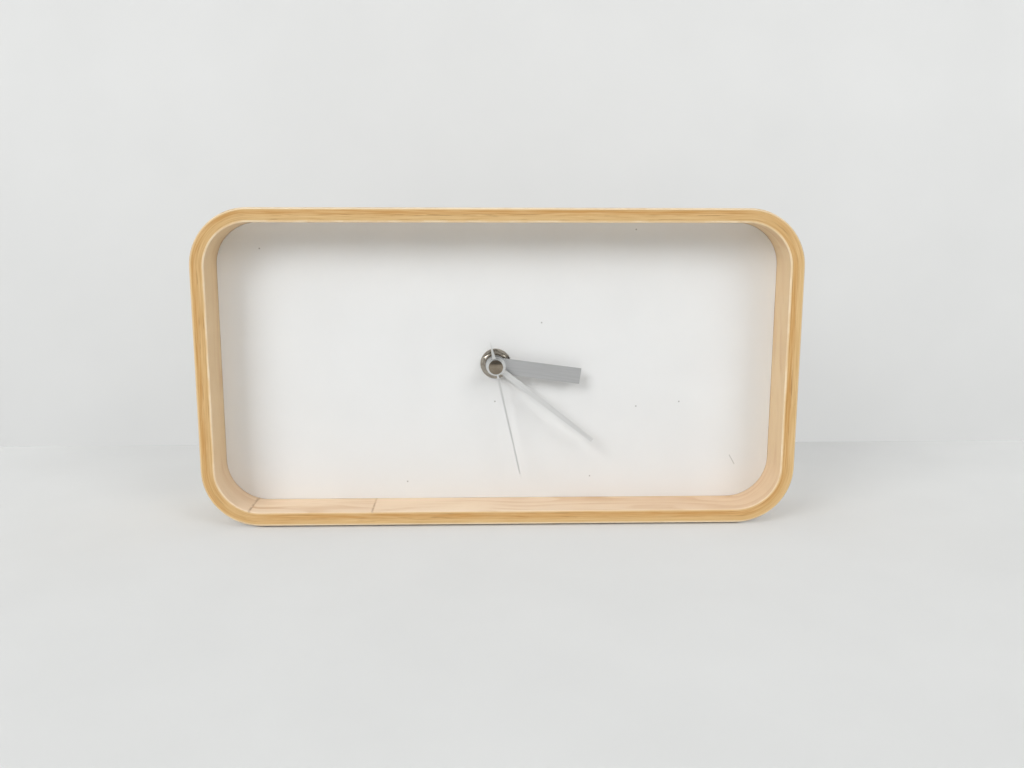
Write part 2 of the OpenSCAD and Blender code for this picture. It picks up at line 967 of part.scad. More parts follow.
module middle_plate() {
    x0 = post_left - post_r - plate_rim;
    x1 = bay_l / 2 - plate_gap;
    y0 = chamber_bottom + plate_gap;
    y1 = chamber_top - plate_gap;
    color("#d8d8d2")
        at_hub()
            translate([0, 0, plate_b])
                linear_extrude(plate_t)
                    difference() {
                        translate([(x0 + x1) / 2, (y0 + y1) / 2])
                            round_rect(x1 - x0, y1 - y0, plate_r);
                        circle(minute_pipe_r + hole_gap);
                        translate(setting_p)
                            circle(stem_r + run_gap);
                        for (p = [third_p, inter_p, rotor_p])
                            translate(p)
                                circle(pivot_r + run_gap);
                    }
}

module hour_wheel() {
    bore = minute_pipe_r + run_gap;
    color("#e6e2d4")
        at_hub()
            difference() {
                union() {
                    rotate([0, 0, gap_toward(setting_a, hour_n)])
                        wheel(hour_n, hour_m, hour_b, hour_f);
                    ring(hour_b, hour_pipe_end, hour_pipe_r);
                }
                ring(hour_b - over, hour_pipe_end + over, bore);
            }
}

// Minute pipe with its pinion, a seat for the centre wheel and a collar behind it
module minute_pipe() {
    seat = centre_b - collar_gap;
    color("#c7a65a")
        at_hub()
            difference() {
                union() {
                    rotate([0, 0, setting_a])
                        pinion(cannon_n, cannon_m, setting_b, setting_f);
                    ring(seat, minute_pipe_end, minute_pipe_r);
                    ring(seat - collar_t, seat, minute_pipe_r + collar_w);
                }
                ring(seat - over, minute_pipe_end + over, arbor_r + run_gap);
            }
}

// Setting wheel and pinion on a stem that reaches out through the back of the case
module setting_stem() {
    color("#e6e2d4")
        at_hub()
            translate(setting_p) {
                rotate([0, 0, gap_toward(setting_a + 180, setting_n)])
                    wheel(setting_n, cannon_m, setting_b, setting_f);
                rotate([0, 0, setting_a + 180])
                    pinion(setting_pinion_n, hour_m, hour_b, hour_f);
                ring(case_back - knob_t + knob_skin + stem_gap, hour_f, stem_r);
                ring(hour_f, cover_back + stem_pivot_l, stem_pivot_r);
            }
}

// Knob with finger flutes, pressed on the stem and sunk a little into the case
module setting_knob() {
    front = case_back + knob_sink;
    color("#262626")
        at_hub()
            translate(setting_p)
                difference() {
                    translate([0, 0, front - knob_t])
                        linear_extrude(knob_t)
                            difference() {
                                circle(d = knob_d);
                                for (i = [0 : flute_n - 1])
                                    rotate([0, 0, i * 360 / flute_n])
                                        translate([knob_d / 2 + flute_out, 0])
                                            circle(flute_r);
                            }
                    ring(case_back - knob_t + knob_skin, front + over, stem_r + seat_gap);
                    ring(
                        front - knob_t - over,
                        front - knob_t + groove_t,
                        knob_d / 2 - groove_rim,
                        knob_d / 2 - groove_rim - groove_w
                    );
                }
}

module centre_wheel() {
    color("#c7a65a")
        at_hub()
            difference() {
                rotate([0, 0, gap_toward(third_a, centre_n)])
                    wheel(centre_n, centre_m, centre_b, centre_f);
                ring(centre_b - over, centre_f + over, minute_pipe_r + run_gap);
            }
}

module third_wheel() {
    color("#e6e2d4")
        at_hub()
            translate(third_p) {
                rotate([0, 0, gap_toward(third_a + 180, third_n)])
                    wheel(third_n, third_m, third_b, third_f);
                rotate([0, 0, third_a + 180])
                    pinion(third_pinion_n, centre_m, centre_b, centre_f);
                spindle();
            }
}

module second_wheel() {
    color("#e6e2d4")
        at_hub() {
            rotate([0, 0, gap_toward(inter_a, second_n)])
                wheel(second_n, second_m, second_b, second_f);
            rotate([0, 0, third_a])
                pinion(second_pinion_n, third_m, third_b, third_f);
            ring(pivot_end + pivot_slack, cap_back + arbor_in_cap, arbor_r);
        }
}

module intermediate_wheel() {
    color("#e6e2d4")
        at_hub()
            translate(inter_p) {
                rotate([0, 0, gap_toward(rotor_a, inter_n)])
                    wheel(inter_n, inter_m, inter_b, inter_f);
                rotate([0, 0, inter_a + 180])
                    pinion(inter_pinion_n, second_m, second_b, second_f);
                spindle();
            }
}

module rotor_pinion() {
    color("#e6e2d4")
        at_hub()
            translate(rotor_p) {
                rotate([0, 0, rotor_a + 180])
                    pinion(rotor_pinion_n, inter_m, inter_b, inter_f);
                spindle();
            }
}

module rotor_magnet() {
    color("#55585a")
        at_hub()
            translate(rotor_p)
                ring(magnet_b, magnet_f, magnet_r, spindle_r + seat_gap);
}

// Flat stator: an eye round the magnet and two limbs up to the coil
module stator() {
    top = limb_top - rotor_p[1];
    hip = [4.6, 2.6];
    knee = 7;
    fork = [0.6, 5.2];
    crotch = 9.6;
    color("#7d8083")
        at_hub()
            translate([rotor_p[0], rotor_p[1], stator_b])
                linear_extrude(stator_t)
                    difference() {
                        union() {
                            circle(stator_eye);
                            polygon([
                                hip,
                                [limb_out, knee],
                                [limb_out, top],
                                [limb_in, top],
                                [limb_in, crotch],
                                fork,
                                [-fork[0], fork[1]],
                                [-limb_in, crotch],
                                [-limb_in, top],
                                [-limb_out, top],
                                [-limb_out, knee],
                                [-hip[0], hip[1]]
                            ]);
                        }
                        circle(stator_bore);
                    }
}

module coil_core() {
    color("#7d8083")
        at_hub()
            block(
                [rotor_p[0] - limb_out, coil_y - coil_w / 2, stator_f],
                [rotor_p[0] + limb_out, coil_y + coil_w / 2, stator_f + stator_t]
            );
}

// Local X along the coil, centred on its core
module at_coil() {
    at_hub()
        translate([rotor_p[0], coil_y, coil_z])
            rotate([0, 90, 0])
                children();
}

module coil_bobbin() {
    color("#e9e6dc")
        at_coil()
            difference() {
                union() {
                    ring(-coil_l / 2, coil_l / 2, tube_r);
                    ring(-coil_l / 2, -coil_l / 2 + bobbin_end_t, bobbin_r);
                    ring(coil_l / 2 - bobbin_end_t, coil_l / 2, bobbin_r);
                }
                cube([stator_t + 2 * seat_gap, coil_w + 2 * seat_gap, coil_l + over], center = true);
            }
}

module coil_winding() {
    half = coil_l / 2 - bobbin_end_t - winding_gap;
    color("#b5652d")
        at_coil()
            ring(-half, half, tube_r + winding_t, tube_r + seat_gap);
}

module circuit_board() {
    color("#2f6b45")
        at_hub()
            block(
                [-pcb_x, pcb_bottom, pcb_b],
                [-pcb_x + pcb_w, pcb_bottom + pcb_l, pcb_f]
            );
}

module quartz_crystal() {
    color("#c4c6c8")
        at_hub()
            translate([-pcb_x + pcb_w / 2, pcb_bottom + crystal_up, pcb_f + crystal_r])
                rotate([90, 0, 0])
                    cylinder(r = crystal_r, h = crystal_l, center = true);
}

module chip() {
    dome = (chip_r * chip_r + chip_rise * chip_rise) / (2 * chip_rise);
    color("#1b1b1d")
        at_hub()
            translate([-pcb_x + pcb_w / 2, pcb_bottom + chip_up, pcb_f])
                rotate_extrude()
                    intersection() {
                        square([chip_r, chip_rise]);
                        translate([0, chip_rise - dome])
                            circle(dome);
                    }
}

// Strip at the stud end, led through the bay wall and along it to the circuit board
module positive_contact() {
    x = bay_l / 2;
    y = chamber_bottom;
    foot = -pcb_x + pcb_w;
    color("#b9bcc0")
        at_hub() {
            block(
                [x - contact_t, bay_bottom + contact_rise, cell_z - contact_w / 2],
                [x, bay_top, cell_z + contact_w / 2]
            );
            block([x - contact_t, bay_top - seat_gap, pcb_f], [x, y + contact_t, pcb_f + lead_w]);
            block([foot - lead_w, y, pcb_f], [x, y + contact_t, pcb_f + lead_w]);
            block([foot - lead_w, y, pcb_f], [foot - foot_in, y + lead_w, pcb_f + contact_t]);
        }
}

// Strip at the flat end with a bowed spring toward the cell
module negative_contact() {
    x = bay_l / 2;
    y = chamber_bottom;
    bow = contact_room - 2 * contact_t - 2 * contact_gap;
    half = bow_l / 2;
    r = (half * half + bow * bow) / (2 * bow);
    color("#b9bcc0")
        at_hub() {
            block(
                [-x, bay_bottom + contact_rise, cell_z - half - contact_t],
                [-x + contact_t, bay_top, cell_z + half + contact_t]
            );
            block([-x, bay_top - seat_gap, pcb_f], [-x + contact_t, y + lead_w, pcb_f + lead_w]);
            block([-x, pcb_bottom, pcb_f], [-pcb_x + pad_l, y + lead_w, pcb_f + contact_t]);
            translate([-x + contact_t, cell_y + bow_w / 2, cell_z])
                rotate([90, 0, 0])
                    linear_extrude(bow_w)
                        intersection() {
                            translate([bow - r, 0])
                                difference() {
                                    circle(r);
                                    circle(r - contact_t);
                                }
                            translate([-bite, -half - over])
                                square([bow + over, 2 * (half + over)]);
                        }
        }
}

// Local Z along the cell, toward its stud, zero at the stud's end
module at_cell() {
    at_hub()
        translate([cell_end, cell_y, cell_z])
            rotate([0, 90, 0])
                children();
}

module cell_can() {
    can_r = cell_d / 2 - sleeve_t;
    color("#c3c5c7")
        at_cell() {
            ring(-cell_l, -stud_l, can_r - can_gap);
            ring(-stud_l - bite, 0, stud_d / 2);
        }
}

module cell_sleeve() {
    can_r = cell_d / 2 - sleeve_t;
    color("#3f6fae")
        at_cell()
            difference() {
                ring(-cell_l + sleeve_short, -stud_l + sleeve_gap + sleeve_fold, cell_d / 2);
                ring(-cell_l - over, -stud_l + sleeve_gap, can_r);
                ring(-stud_l - over, over, can_r - sleeve_lip);
            }
}

outer_veneer();
ply_core();
inner_veneer();
inner_patch();
dial_sheet();
dial_board();
batten_top();
batten_bottom();
batten_left();
batten_right();
washer();
hex_nut();
bushing();
gasket();
hour_hand();
minute_hand();
second_hand();
second_cap();
movement_cover();
movement_case();
middle_plate();
hour_wheel();
minute_pipe();
setting_stem();
setting_knob();
centre_wheel();
third_wheel();
second_wheel();
intermediate_wheel();
rotor_pinion();
rotor_magnet();
stator();
coil_core();
coil_bobbin();
coil_winding();
circuit_board();
quartz_crystal();
chip();
positive_contact();
negative_contact();
cell_can();
cell_sleeve();
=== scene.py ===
"""Looks of a bentwood desk clock: a finish for every piece, a pale room, soft light and a camera."""

import math

import bpy
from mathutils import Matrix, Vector


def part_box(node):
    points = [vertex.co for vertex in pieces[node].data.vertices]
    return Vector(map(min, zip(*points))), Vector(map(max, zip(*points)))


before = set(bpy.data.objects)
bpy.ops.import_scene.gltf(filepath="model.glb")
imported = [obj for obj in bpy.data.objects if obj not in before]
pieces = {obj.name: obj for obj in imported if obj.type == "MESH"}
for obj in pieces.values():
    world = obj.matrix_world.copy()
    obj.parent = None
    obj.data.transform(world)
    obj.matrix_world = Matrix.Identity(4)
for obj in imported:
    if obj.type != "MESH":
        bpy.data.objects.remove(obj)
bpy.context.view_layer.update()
scene = bpy.context.scene

MM = 0.001

# The bent frame: its middle in metres, and in mm its half sizes, its wall and the outer radius of its bends
frame_low, frame_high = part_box("outer_veneer")
frame_mid = (frame_low + frame_high) / 2
frame_half = (frame_high - frame_low) / 2 / MM
WALL = 6
BEND = 24

# The depths below the frame's outer face between which its core lies, in mm
CORE_OUTER = (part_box("ply_core")[0].x - frame_low.x) / MM
CORE_INNER = (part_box("inner_veneer")[0].x - frame_low.x) / MM
CORE_MID = (CORE_OUTER + CORE_INNER) / 2
CORE_HALF = (CORE_INNER - CORE_OUTER) / 2

# The strip that closes the inner veneer: its middle in metres, and half its length in mm
strip_low, strip_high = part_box("inner_patch")
strip_mid = (strip_low + strip_high) / 2
STRIP_HALF = (strip_high - strip_low).x / 2 / MM

# The hub's axis, and how far each hand is turned clockwise from twelve
washer_low, washer_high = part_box("washer")
hub = (washer_low + washer_high) / 2
HOUR_ANGLE = math.radians(97.6)
MINUTE_ANGLE = math.radians(128)


def linear(code):
    """An sRGB hex value as linear colour."""
    parts = [int(code[i:i + 2], 16) / 255 for i in (1, 3, 5)]
    return [c / 12.92 if c <= 0.04045 else ((c + 0.055) / 1.055) ** 2.4 for c in parts] + [1.0]


def start(name):
    """A new material with an empty node tree."""
    material = bpy.data.materials.new(name)
    material.use_nodes = True
    material.node_tree.nodes.clear()
    return material, material.node_tree


def add(tree, kind, inputs=None, **settings):
    """Adds a node with its settings. An input is a value, an output, or a node whose live output it takes.

    Sockets go by number where names repeat. Map Range: 0 is the value, 1 to 2 its range, and 3 to 4 the
    result. Mix: 0 is the share, and the pair mixed is 2 and 3 for numbers, 4 and 5 for vectors, and 6 and
    7 for colours.
    """
    made = tree.nodes.new(kind)
    for name, value in settings.items():
        setattr(made, name, value)
    for key, value in (inputs or {}).items():
        if isinstance(value, bpy.types.Node):
            value = next(output for output in value.outputs if output.enabled)
        if isinstance(value, bpy.types.NodeSocket):
            tree.links.new(value, made.inputs[key])
        else:
            made.inputs[key].default_value = value
    return made


def cells(tree, size=(1, 1, 1), centre=(0, 0, 0), turn=0.0):
    """The part's own coordinates, in cells of a size in mm, from a centre in metres and turned with a
    hand."""
    place = add(tree, "ShaderNodeTexCoord").outputs["Object"]
    return add(
        tree,
        "ShaderNodeMapping",
        {"Vector": place, "Location": centre, "Rotation": (0, turn, 0), "Scale": [s * MM for s in size]},
        vector_type="TEXTURE",
    )


def depth_in_wall(tree):
    """How deep a point lies below the frame's outer face, in mm, measured square to the bend."""
    straight = (frame_half.x - BEND, frame_half.y, frame_half.z - BEND)
    folded = add(tree, "ShaderNodeVectorMath", {0: cells(tree, centre=frame_mid)}, operation="ABSOLUTE")
    past = add(tree, "ShaderNodeVectorMath", {0: folded, 1: straight}, operation="SUBTRACT")
    corner = add(tree, "ShaderNodeVectorMath", {0: past, 1: (0, 0, 0)}, operation="MAXIMUM")
    reach = add(tree, "ShaderNodeVectorMath", {0: corner}, operation="LENGTH")
    return add(tree, "ShaderNodeMath", {0: BEND, 1: reach}, operation="SUBTRACT")


def dress(material, *names):
    """Gives the named pieces one material."""
    for name in names:
        mesh = pieces[name].data
        mesh.materials.clear()
        mesh.materials.append(material)


def maple_figure(tree, pale, warm, shaded_sides, flame, figure, deep, shifted):
    """Maple's colour: pale with warm clouds and soft flames across it, deeper towards the right, and a
    painted shade up the sides.
    """
    # flames 9 mm apart across the sheet, pushed to and fro by a slow drift along it, each dark at one side
    flame_gap = 9
    slow = cells(tree, (80, 18, 80), shifted)
    drift = add(tree, "ShaderNodeTexNoise", {"Vector": slow, "Scale": 1, "Detail": 1})
    across = add(tree, "ShaderNodeSeparateXYZ", {0: cells(tree, [flame_gap] * 3)}).outputs["Y"]
    bent = add(tree, "ShaderNodeMath", {0: drift, 1: 6.0, 2: across}, operation="MULTIPLY_ADD")
    phase = add(tree, "ShaderNodeMath", {0: bent}, operation="FRACT")
    rise = add(tree, "ShaderNodeMapRange", {0: phase, 1: 0.3, 2: 0.9})
    fall = add(tree, "ShaderNodeMapRange", {0: phase, 1: 0.9, 2: 1.0, 3: 1.0, 4: 0.0})
    soft = add(tree, "ShaderNodeMath", {0: rise, 1: fall}, operation="MINIMUM")
    # they come and go in patches 34 mm long, over clouds of 55 mm
    patches = cells(tree, (34, 12, 34), shifted)
    fade = add(tree, "ShaderNodeTexNoise", {"Vector": patches, "Scale": 1, "Detail": 2})
    faded = add(tree, "ShaderNodeMapRange", {0: fade, 1: 0.4, 2: 0.7, 3: 0.0, 4: figure})
    flames = add(tree, "ShaderNodeMath", {0: soft, 1: faded}, operation="MULTIPLY")
    wide = cells(tree, (55, 16, 55), shifted)
    cloud = add(tree, "ShaderNodeTexNoise", {"Vector": wide, "Scale": 1, "Detail": 2})
    clouded = add(tree, "ShaderNodeMapRange", {0: cloud, 1: 0.3, 2: 0.7})
    base = add(tree, "ShaderNodeMix", {0: clouded, 6: linear(pale), 7: linear(warm)}, data_type="RGBA")
    # the sheet deepens towards the right
    place = add(tree, "ShaderNodeSeparateXYZ", {0: cells(tree)}).outputs
    rightward = add(tree, "ShaderNodeMapRange", {0: place["X"], 1: 20.0, 2: 70.0, 3: 0.0, 4: deep})
    base = add(tree, "ShaderNodeMix", {0: rightward, 6: base, 7: linear(flame)}, data_type="RGBA")
    # painted shade: up the sides the sheet turns darker than along the lit bottom
    upward = add(tree, "ShaderNodeMapRange", {0: place["Z"], 1: WALL, 2: 32.0})
    base = add(tree, "ShaderNodeMix", {0: upward, 6: base, 7: linear(shaded_sides)}, data_type="RGBA")
    return add(tree, "ShaderNodeMix", {0: flames, 6: base, 7: linear(flame)}, data_type="RGBA")


def maple_glue(tree, wood, rub, glue):
    """Brown glue in broken lines along the closing strip's two ends, up to 0.7 mm to either side."""
    about = add(tree, "ShaderNodeVectorMath", {0: cells(tree, centre=strip_mid)}, operation="ABSOLUTE")
    from_mid = add(tree, "ShaderNodeSeparateXYZ", {0: about}).outputs
    past_end = add(tree, "ShaderNodeMath", {0: from_mid["X"], 1: STRIP_HALF}, operation="SUBTRACT")
    from_end = add(tree, "ShaderNodeMath", {0: past_end}, operation="ABSOLUTE")
    seam = add(tree, "ShaderNodeMapRange", {0: from_end, 1: 0.1, 2: 0.7, 3: glue, 4: 0.0})
    beside = add(tree, "ShaderNodeMath", {0: from_mid["Z"], 1: 2.0}, operation="LESS_THAN")
    broken = add(tree, "ShaderNodeMapRange", {0: rub, 1: 0.3, 2: 0.6})
    squeezed = add(tree, "ShaderNodeMath", {0: broken, 1: beside}, operation="MULTIPLY")
    glued = add(tree, "ShaderNodeMath", {0: seam, 1: squeezed}, operation="MULTIPLY")
    return add(tree, "ShaderNodeMix", {0: glued, 6: wood, 7: linear("#9a6f40")}, data_type="RGBA")


def maple_wear_and_highlight(tree, wood, rub, wear_and_highlight, ends, foot, bare, whole, shifted):
    """The veneer's golden cut edge and the rounded edge behind it, turned cream in broken dashes: part
    rubbed wear, part painted highlight.
    """
    from_frame = add(tree, "ShaderNodeSeparateXYZ", {0: cells(tree, centre=frame_mid)}).outputs
    outward = add(tree, "ShaderNodeMath", {0: from_frame["Y"]}, operation="ABSOLUTE")
    edge = frame_half.y
    dash = add(
        tree,
        "ShaderNodeTexNoise",
        {"Vector": cells(tree, (9, 9, 9), shifted), "Scale": 1, "Detail": 4},
    )
    dashed = add(tree, "ShaderNodeMapRange", {0: dash, 1: 0.42, 2: 0.56, 3: whole, 4: 1.0})
    # the cream, part wear and part painted highlight, is weaker at the outer veneer's ends and at the inner
    # one's foot
    sidelong = add(tree, "ShaderNodeMath", {0: from_frame["X"]}, operation="ABSOLUTE")
    end = frame_half.x
    by_end = add(tree, "ShaderNodeMapRange", {0: sidelong, 1: end - BEND, 2: end - WALL, 3: 1.0, 4: ends})
    height = add(tree, "ShaderNodeSeparateXYZ", {0: cells(tree)}).outputs["Z"]
    by_foot = add(tree, "ShaderNodeMapRange", {0: height, 1: 8.0, 2: 30.0, 3: foot, 4: 1.0})
    spared = add(tree, "ShaderNodeMath", {0: by_end, 1: by_foot}, operation="MULTIPLY")
    dashed = add(tree, "ShaderNodeMath", {0: dashed, 1: spared}, operation="MULTIPLY")
    # the cream of wear and painted highlight takes in about the last 0.35 mm before the edge
    uneven = add(tree, "ShaderNodeMath", {0: rub, 1: 0.4, 2: outward}, operation="MULTIPLY_ADD")
    worn = add(tree, "ShaderNodeMapRange", {0: uneven, 1: edge - 0.15, 2: edge + 0.2, 3: 0.0, 4: wear_and_highlight})
    worn = add(tree, "ShaderNodeMath", {0: worn, 1: dashed}, operation="MULTIPLY")
    wood = add(tree, "ShaderNodeMix", {0: worn, 6: wood, 7: linear("#f6e8d2")}, data_type="RGBA")
    # the cut edge is cream on the side away from the core, part rubbed wear and part painted highlight
    from_core = add(tree, "ShaderNodeMath", {0: depth_in_wall(tree), 1: CORE_MID}, operation="SUBTRACT")
    outmost = add(tree, "ShaderNodeMath", {0: from_core}, operation="ABSOLUTE")
    cream = CORE_HALF + bare
    bared_and_lit = add(tree, "ShaderNodeMapRange", {0: outmost, 1: cream, 2: cream + 0.25, 3: 0.0, 4: wear_and_highlight})
    rubbed = add(tree, "ShaderNodeMath", {0: dashed, 1: bared_and_lit}, operation="MULTIPLY")
    gold = linear("#d9b173")
    edging = add(tree, "ShaderNodeMix", {0: rubbed, 6: gold, 7: linear("#f2ddb9")}, data_type="RGBA")
    cut = add(tree, "ShaderNodeMapRange", {0: outward, 1: edge - 0.06, 2: edge - 0.01, 3: 0.0, 4: 0.85})
    return add(tree, "ShaderNodeMix", {0: cut, 6: wood, 7: edging}, data_type="RGBA")


def lacquered_maple(
    name, seed, pale, warm, shaded_sides, flame, pore, figure, deep, wear_and_highlight, ends, foot, bare, whole, glue
):
    """Sliced maple under matt lacquer: pale, softly flamed and pored, with a painted shade up its sides,
    its cut edge golden and turned cream by wear and painted highlight, and a little glue in the seams of
    the strip that closes it.

    figure, deep and glue are shares, and so is the cream of wear and painted highlight. ends and foot are
    the shares of that cream there, and whole is the share between dashes. bare is how far from the core, in
    mm, the cut edge starts to turn cream.
    """
    material, tree = start(name)
    shifted = (seed, 0, 0)
    figured = maple_figure(tree, pale, warm, shaded_sides, flame, figure, deep, shifted)
    # pores are drawn 0.4 mm wide, coarser than real ones, so that they show
    pore_size = (7, 0.4, 7)
    fine = add(tree, "ShaderNodeTexNoise", {"Vector": cells(tree, pore_size), "Scale": 1, "Detail": 2})
    pores = add(tree, "ShaderNodeMapRange", {0: fine, 1: 0.62, 2: 0.8, 3: 0.0, 4: 0.45})
    wood = add(tree, "ShaderNodeMix", {0: pores, 6: figured, 7: linear(pore)}, data_type="RGBA")
    rub = add(tree, "ShaderNodeTexNoise", {"Vector": cells(tree, (4, 1.2, 4)), "Scale": 1, "Detail": 3})
    wood = maple_glue(tree, wood, rub, glue)
    wood = maple_wear_and_highlight(tree, wood, rub, wear_and_highlight, ends, foot, bare, whole, shifted)
    gloss = add(tree, "ShaderNodeMapRange", {0: fine, 1: 0.3, 2: 0.8, 3: 0.42, 4: 0.58})
    bump = add(tree, "ShaderNodeBump", {"Height": fine, "Distance": 0.03 * MM, "Strength": 0.5})
    skin = add(
        tree,
        "ShaderNodeBsdfPrincipled",
        {"Base Color": wood, "Roughness": gloss, "Normal": bump, "Specular IOR Level": 0.35},
    )
    add(tree, "ShaderNodeOutputMaterial", {"Surface": skin})
    return material


def sanded_birch_edge():
    """Edges of birch plies, sanded and lacquered: a pale ply, a golden one, and brown flecks along them."""
    material, tree = start("sanded_birch_edge")
    depth = depth_in_wall(tree)
    # the plies waver by a quarter of a millimetre to either side along the frame
    sway = 0.25
    waver = add(tree, "ShaderNodeTexNoise", {"Vector": cells(tree, (26, 26, 26)), "Scale": 1, "Detail": 2})
    shaken = add(tree, "ShaderNodeMath", {0: waver, 1: 2 * sway, 2: depth}, operation="MULTIPLY_ADD")
    middle = CORE_MID + sway
    # one ply passes into the other over 1.6 mm
    outer = middle - 1.0
    inner = middle + 0.6
    inward = add(tree, "ShaderNodeMapRange", {0: shaken, 1: outer, 2: inner})
    outward = add(tree, "ShaderNodeMapRange", {0: shaken, 1: outer, 2: inner, 3: 1.0, 4: 0.0})
    # the golden band lies on the half of the edge toward the upper left: the inner half at the bottom and
    # the right, and the outer half at the left and the top
    across = cells(tree, frame_half, frame_mid)
    slanted = add(tree, "ShaderNodeVectorMath", {0: across, 1: (1, 0, -1)}, operation="DOT_PRODUCT")
    slant = slanted.outputs["Value"]
    swapped = add(tree, "ShaderNodeMapRange", {0: slant, 1: -0.4, 2: 0.4, 3: 1.0, 4: 0.0})
    golden = add(tree, "ShaderNodeMix", {0: swapped, 2: inward, 3: outward})
    pale = linear("#d9b47d")
    base = add(tree, "ShaderNodeMix", {0: golden, 6: pale, 7: linear("#cd9d5f")}, data_type="RGBA")
    # the left end is a deeper gold, which fades over the bends
    leftward = add(tree, "ShaderNodeSeparateXYZ", {0: across}).outputs["X"]
    deeper = add(tree, "ShaderNodeMapRange", {0: leftward, 1: -0.95, 2: -0.8, 3: 0.24, 4: 0.0})
    base = add(tree, "ShaderNodeMix", {0: deeper, 6: base, 7: linear("#ba8846")}, data_type="RGBA")
    # streaks 0.4 mm wide and 14 mm long lie along each ply, round the bends too
    streak = 0.4
    thin = add(tree, "ShaderNodeMath", {0: depth, 1: streak}, operation="DIVIDE")
    streaks = add(
        tree,
        "ShaderNodeTexNoise",
        {"Vector": cells(tree, (14, 2.5, 14)), "W": thin, "Scale": 1, "Detail": 3},
        noise_dimensions="4D",
    )
    light = add(tree, "ShaderNodeMapRange", {0: streaks, 1: 0.45, 2: 0.75, 3: 0.0, 4: 0.7})
    wood = add(tree, "ShaderNodeMix", {0: light, 6: base, 7: linear("#e6c793")}, data_type="RGBA")
    gold = add(tree, "ShaderNodeMapRange", {0: streaks, 1: 0.45, 2: 0.25, 3: 0.0, 4: 0.6})
    wood = add(tree, "ShaderNodeMix", {0: gold, 6: wood, 7: linear("#ba8846")}, data_type="RGBA")
    # brown flecks gather along the glue line in the middle and the one before the inner veneer
    spots = add(
        tree,
        "ShaderNodeTexNoise",
        {"Vector": cells(tree, (9, 1.5, 9), (0.3, 0, 0)), "W": thin, "Scale": 1, "Detail": 2},
        noise_dimensions="4D",
    )
    from_middle = add(tree, "ShaderNodeMath", {0: shaken, 1: middle, 2: 0.35}, operation="COMPARE")
    by_veneer = add(tree, "ShaderNodeMath", {0: depth, 1: CORE_INNER - 0.45}, operation="GREATER_THAN")
    gathered = add(tree, "ShaderNodeMath", {0: from_middle, 1: by_veneer}, operation="MAXIMUM")
    likely = add(tree, "ShaderNodeMath", {0: gathered, 1: 0.12, 2: spots}, operation="MULTIPLY_ADD")
    flecks = add(tree, "ShaderNodeMapRange", {0: likely, 1: 0.66, 2: 0.78, 3: 0.0, 4: 0.6})
    wood = add(tree, "ShaderNodeMix", {0: flecks, 6: wood, 7: linear("#a07038")}, data_type="RGBA")
    gloss = add(tree, "ShaderNodeMapRange", {0: streaks, 1: 0.3, 2: 0.7, 3: 0.48, 4: 0.62})
    height = add(tree, "ShaderNodeMath", {0: streaks, 1: flecks}, operation="SUBTRACT")
    bump = add(tree, "ShaderNodeBump", {"Height": height, "Distance": 0.05 * MM, "Strength": 0.6})
    skin = add(
        tree,
        "ShaderNodeBsdfPrincipled",
        {"Base Color": wood, "Roughness": gloss, "Normal": bump, "Specular IOR Level": 0.35},
    )
    add(tree, "ShaderNodeOutputMaterial", {"Surface": skin})
    return material


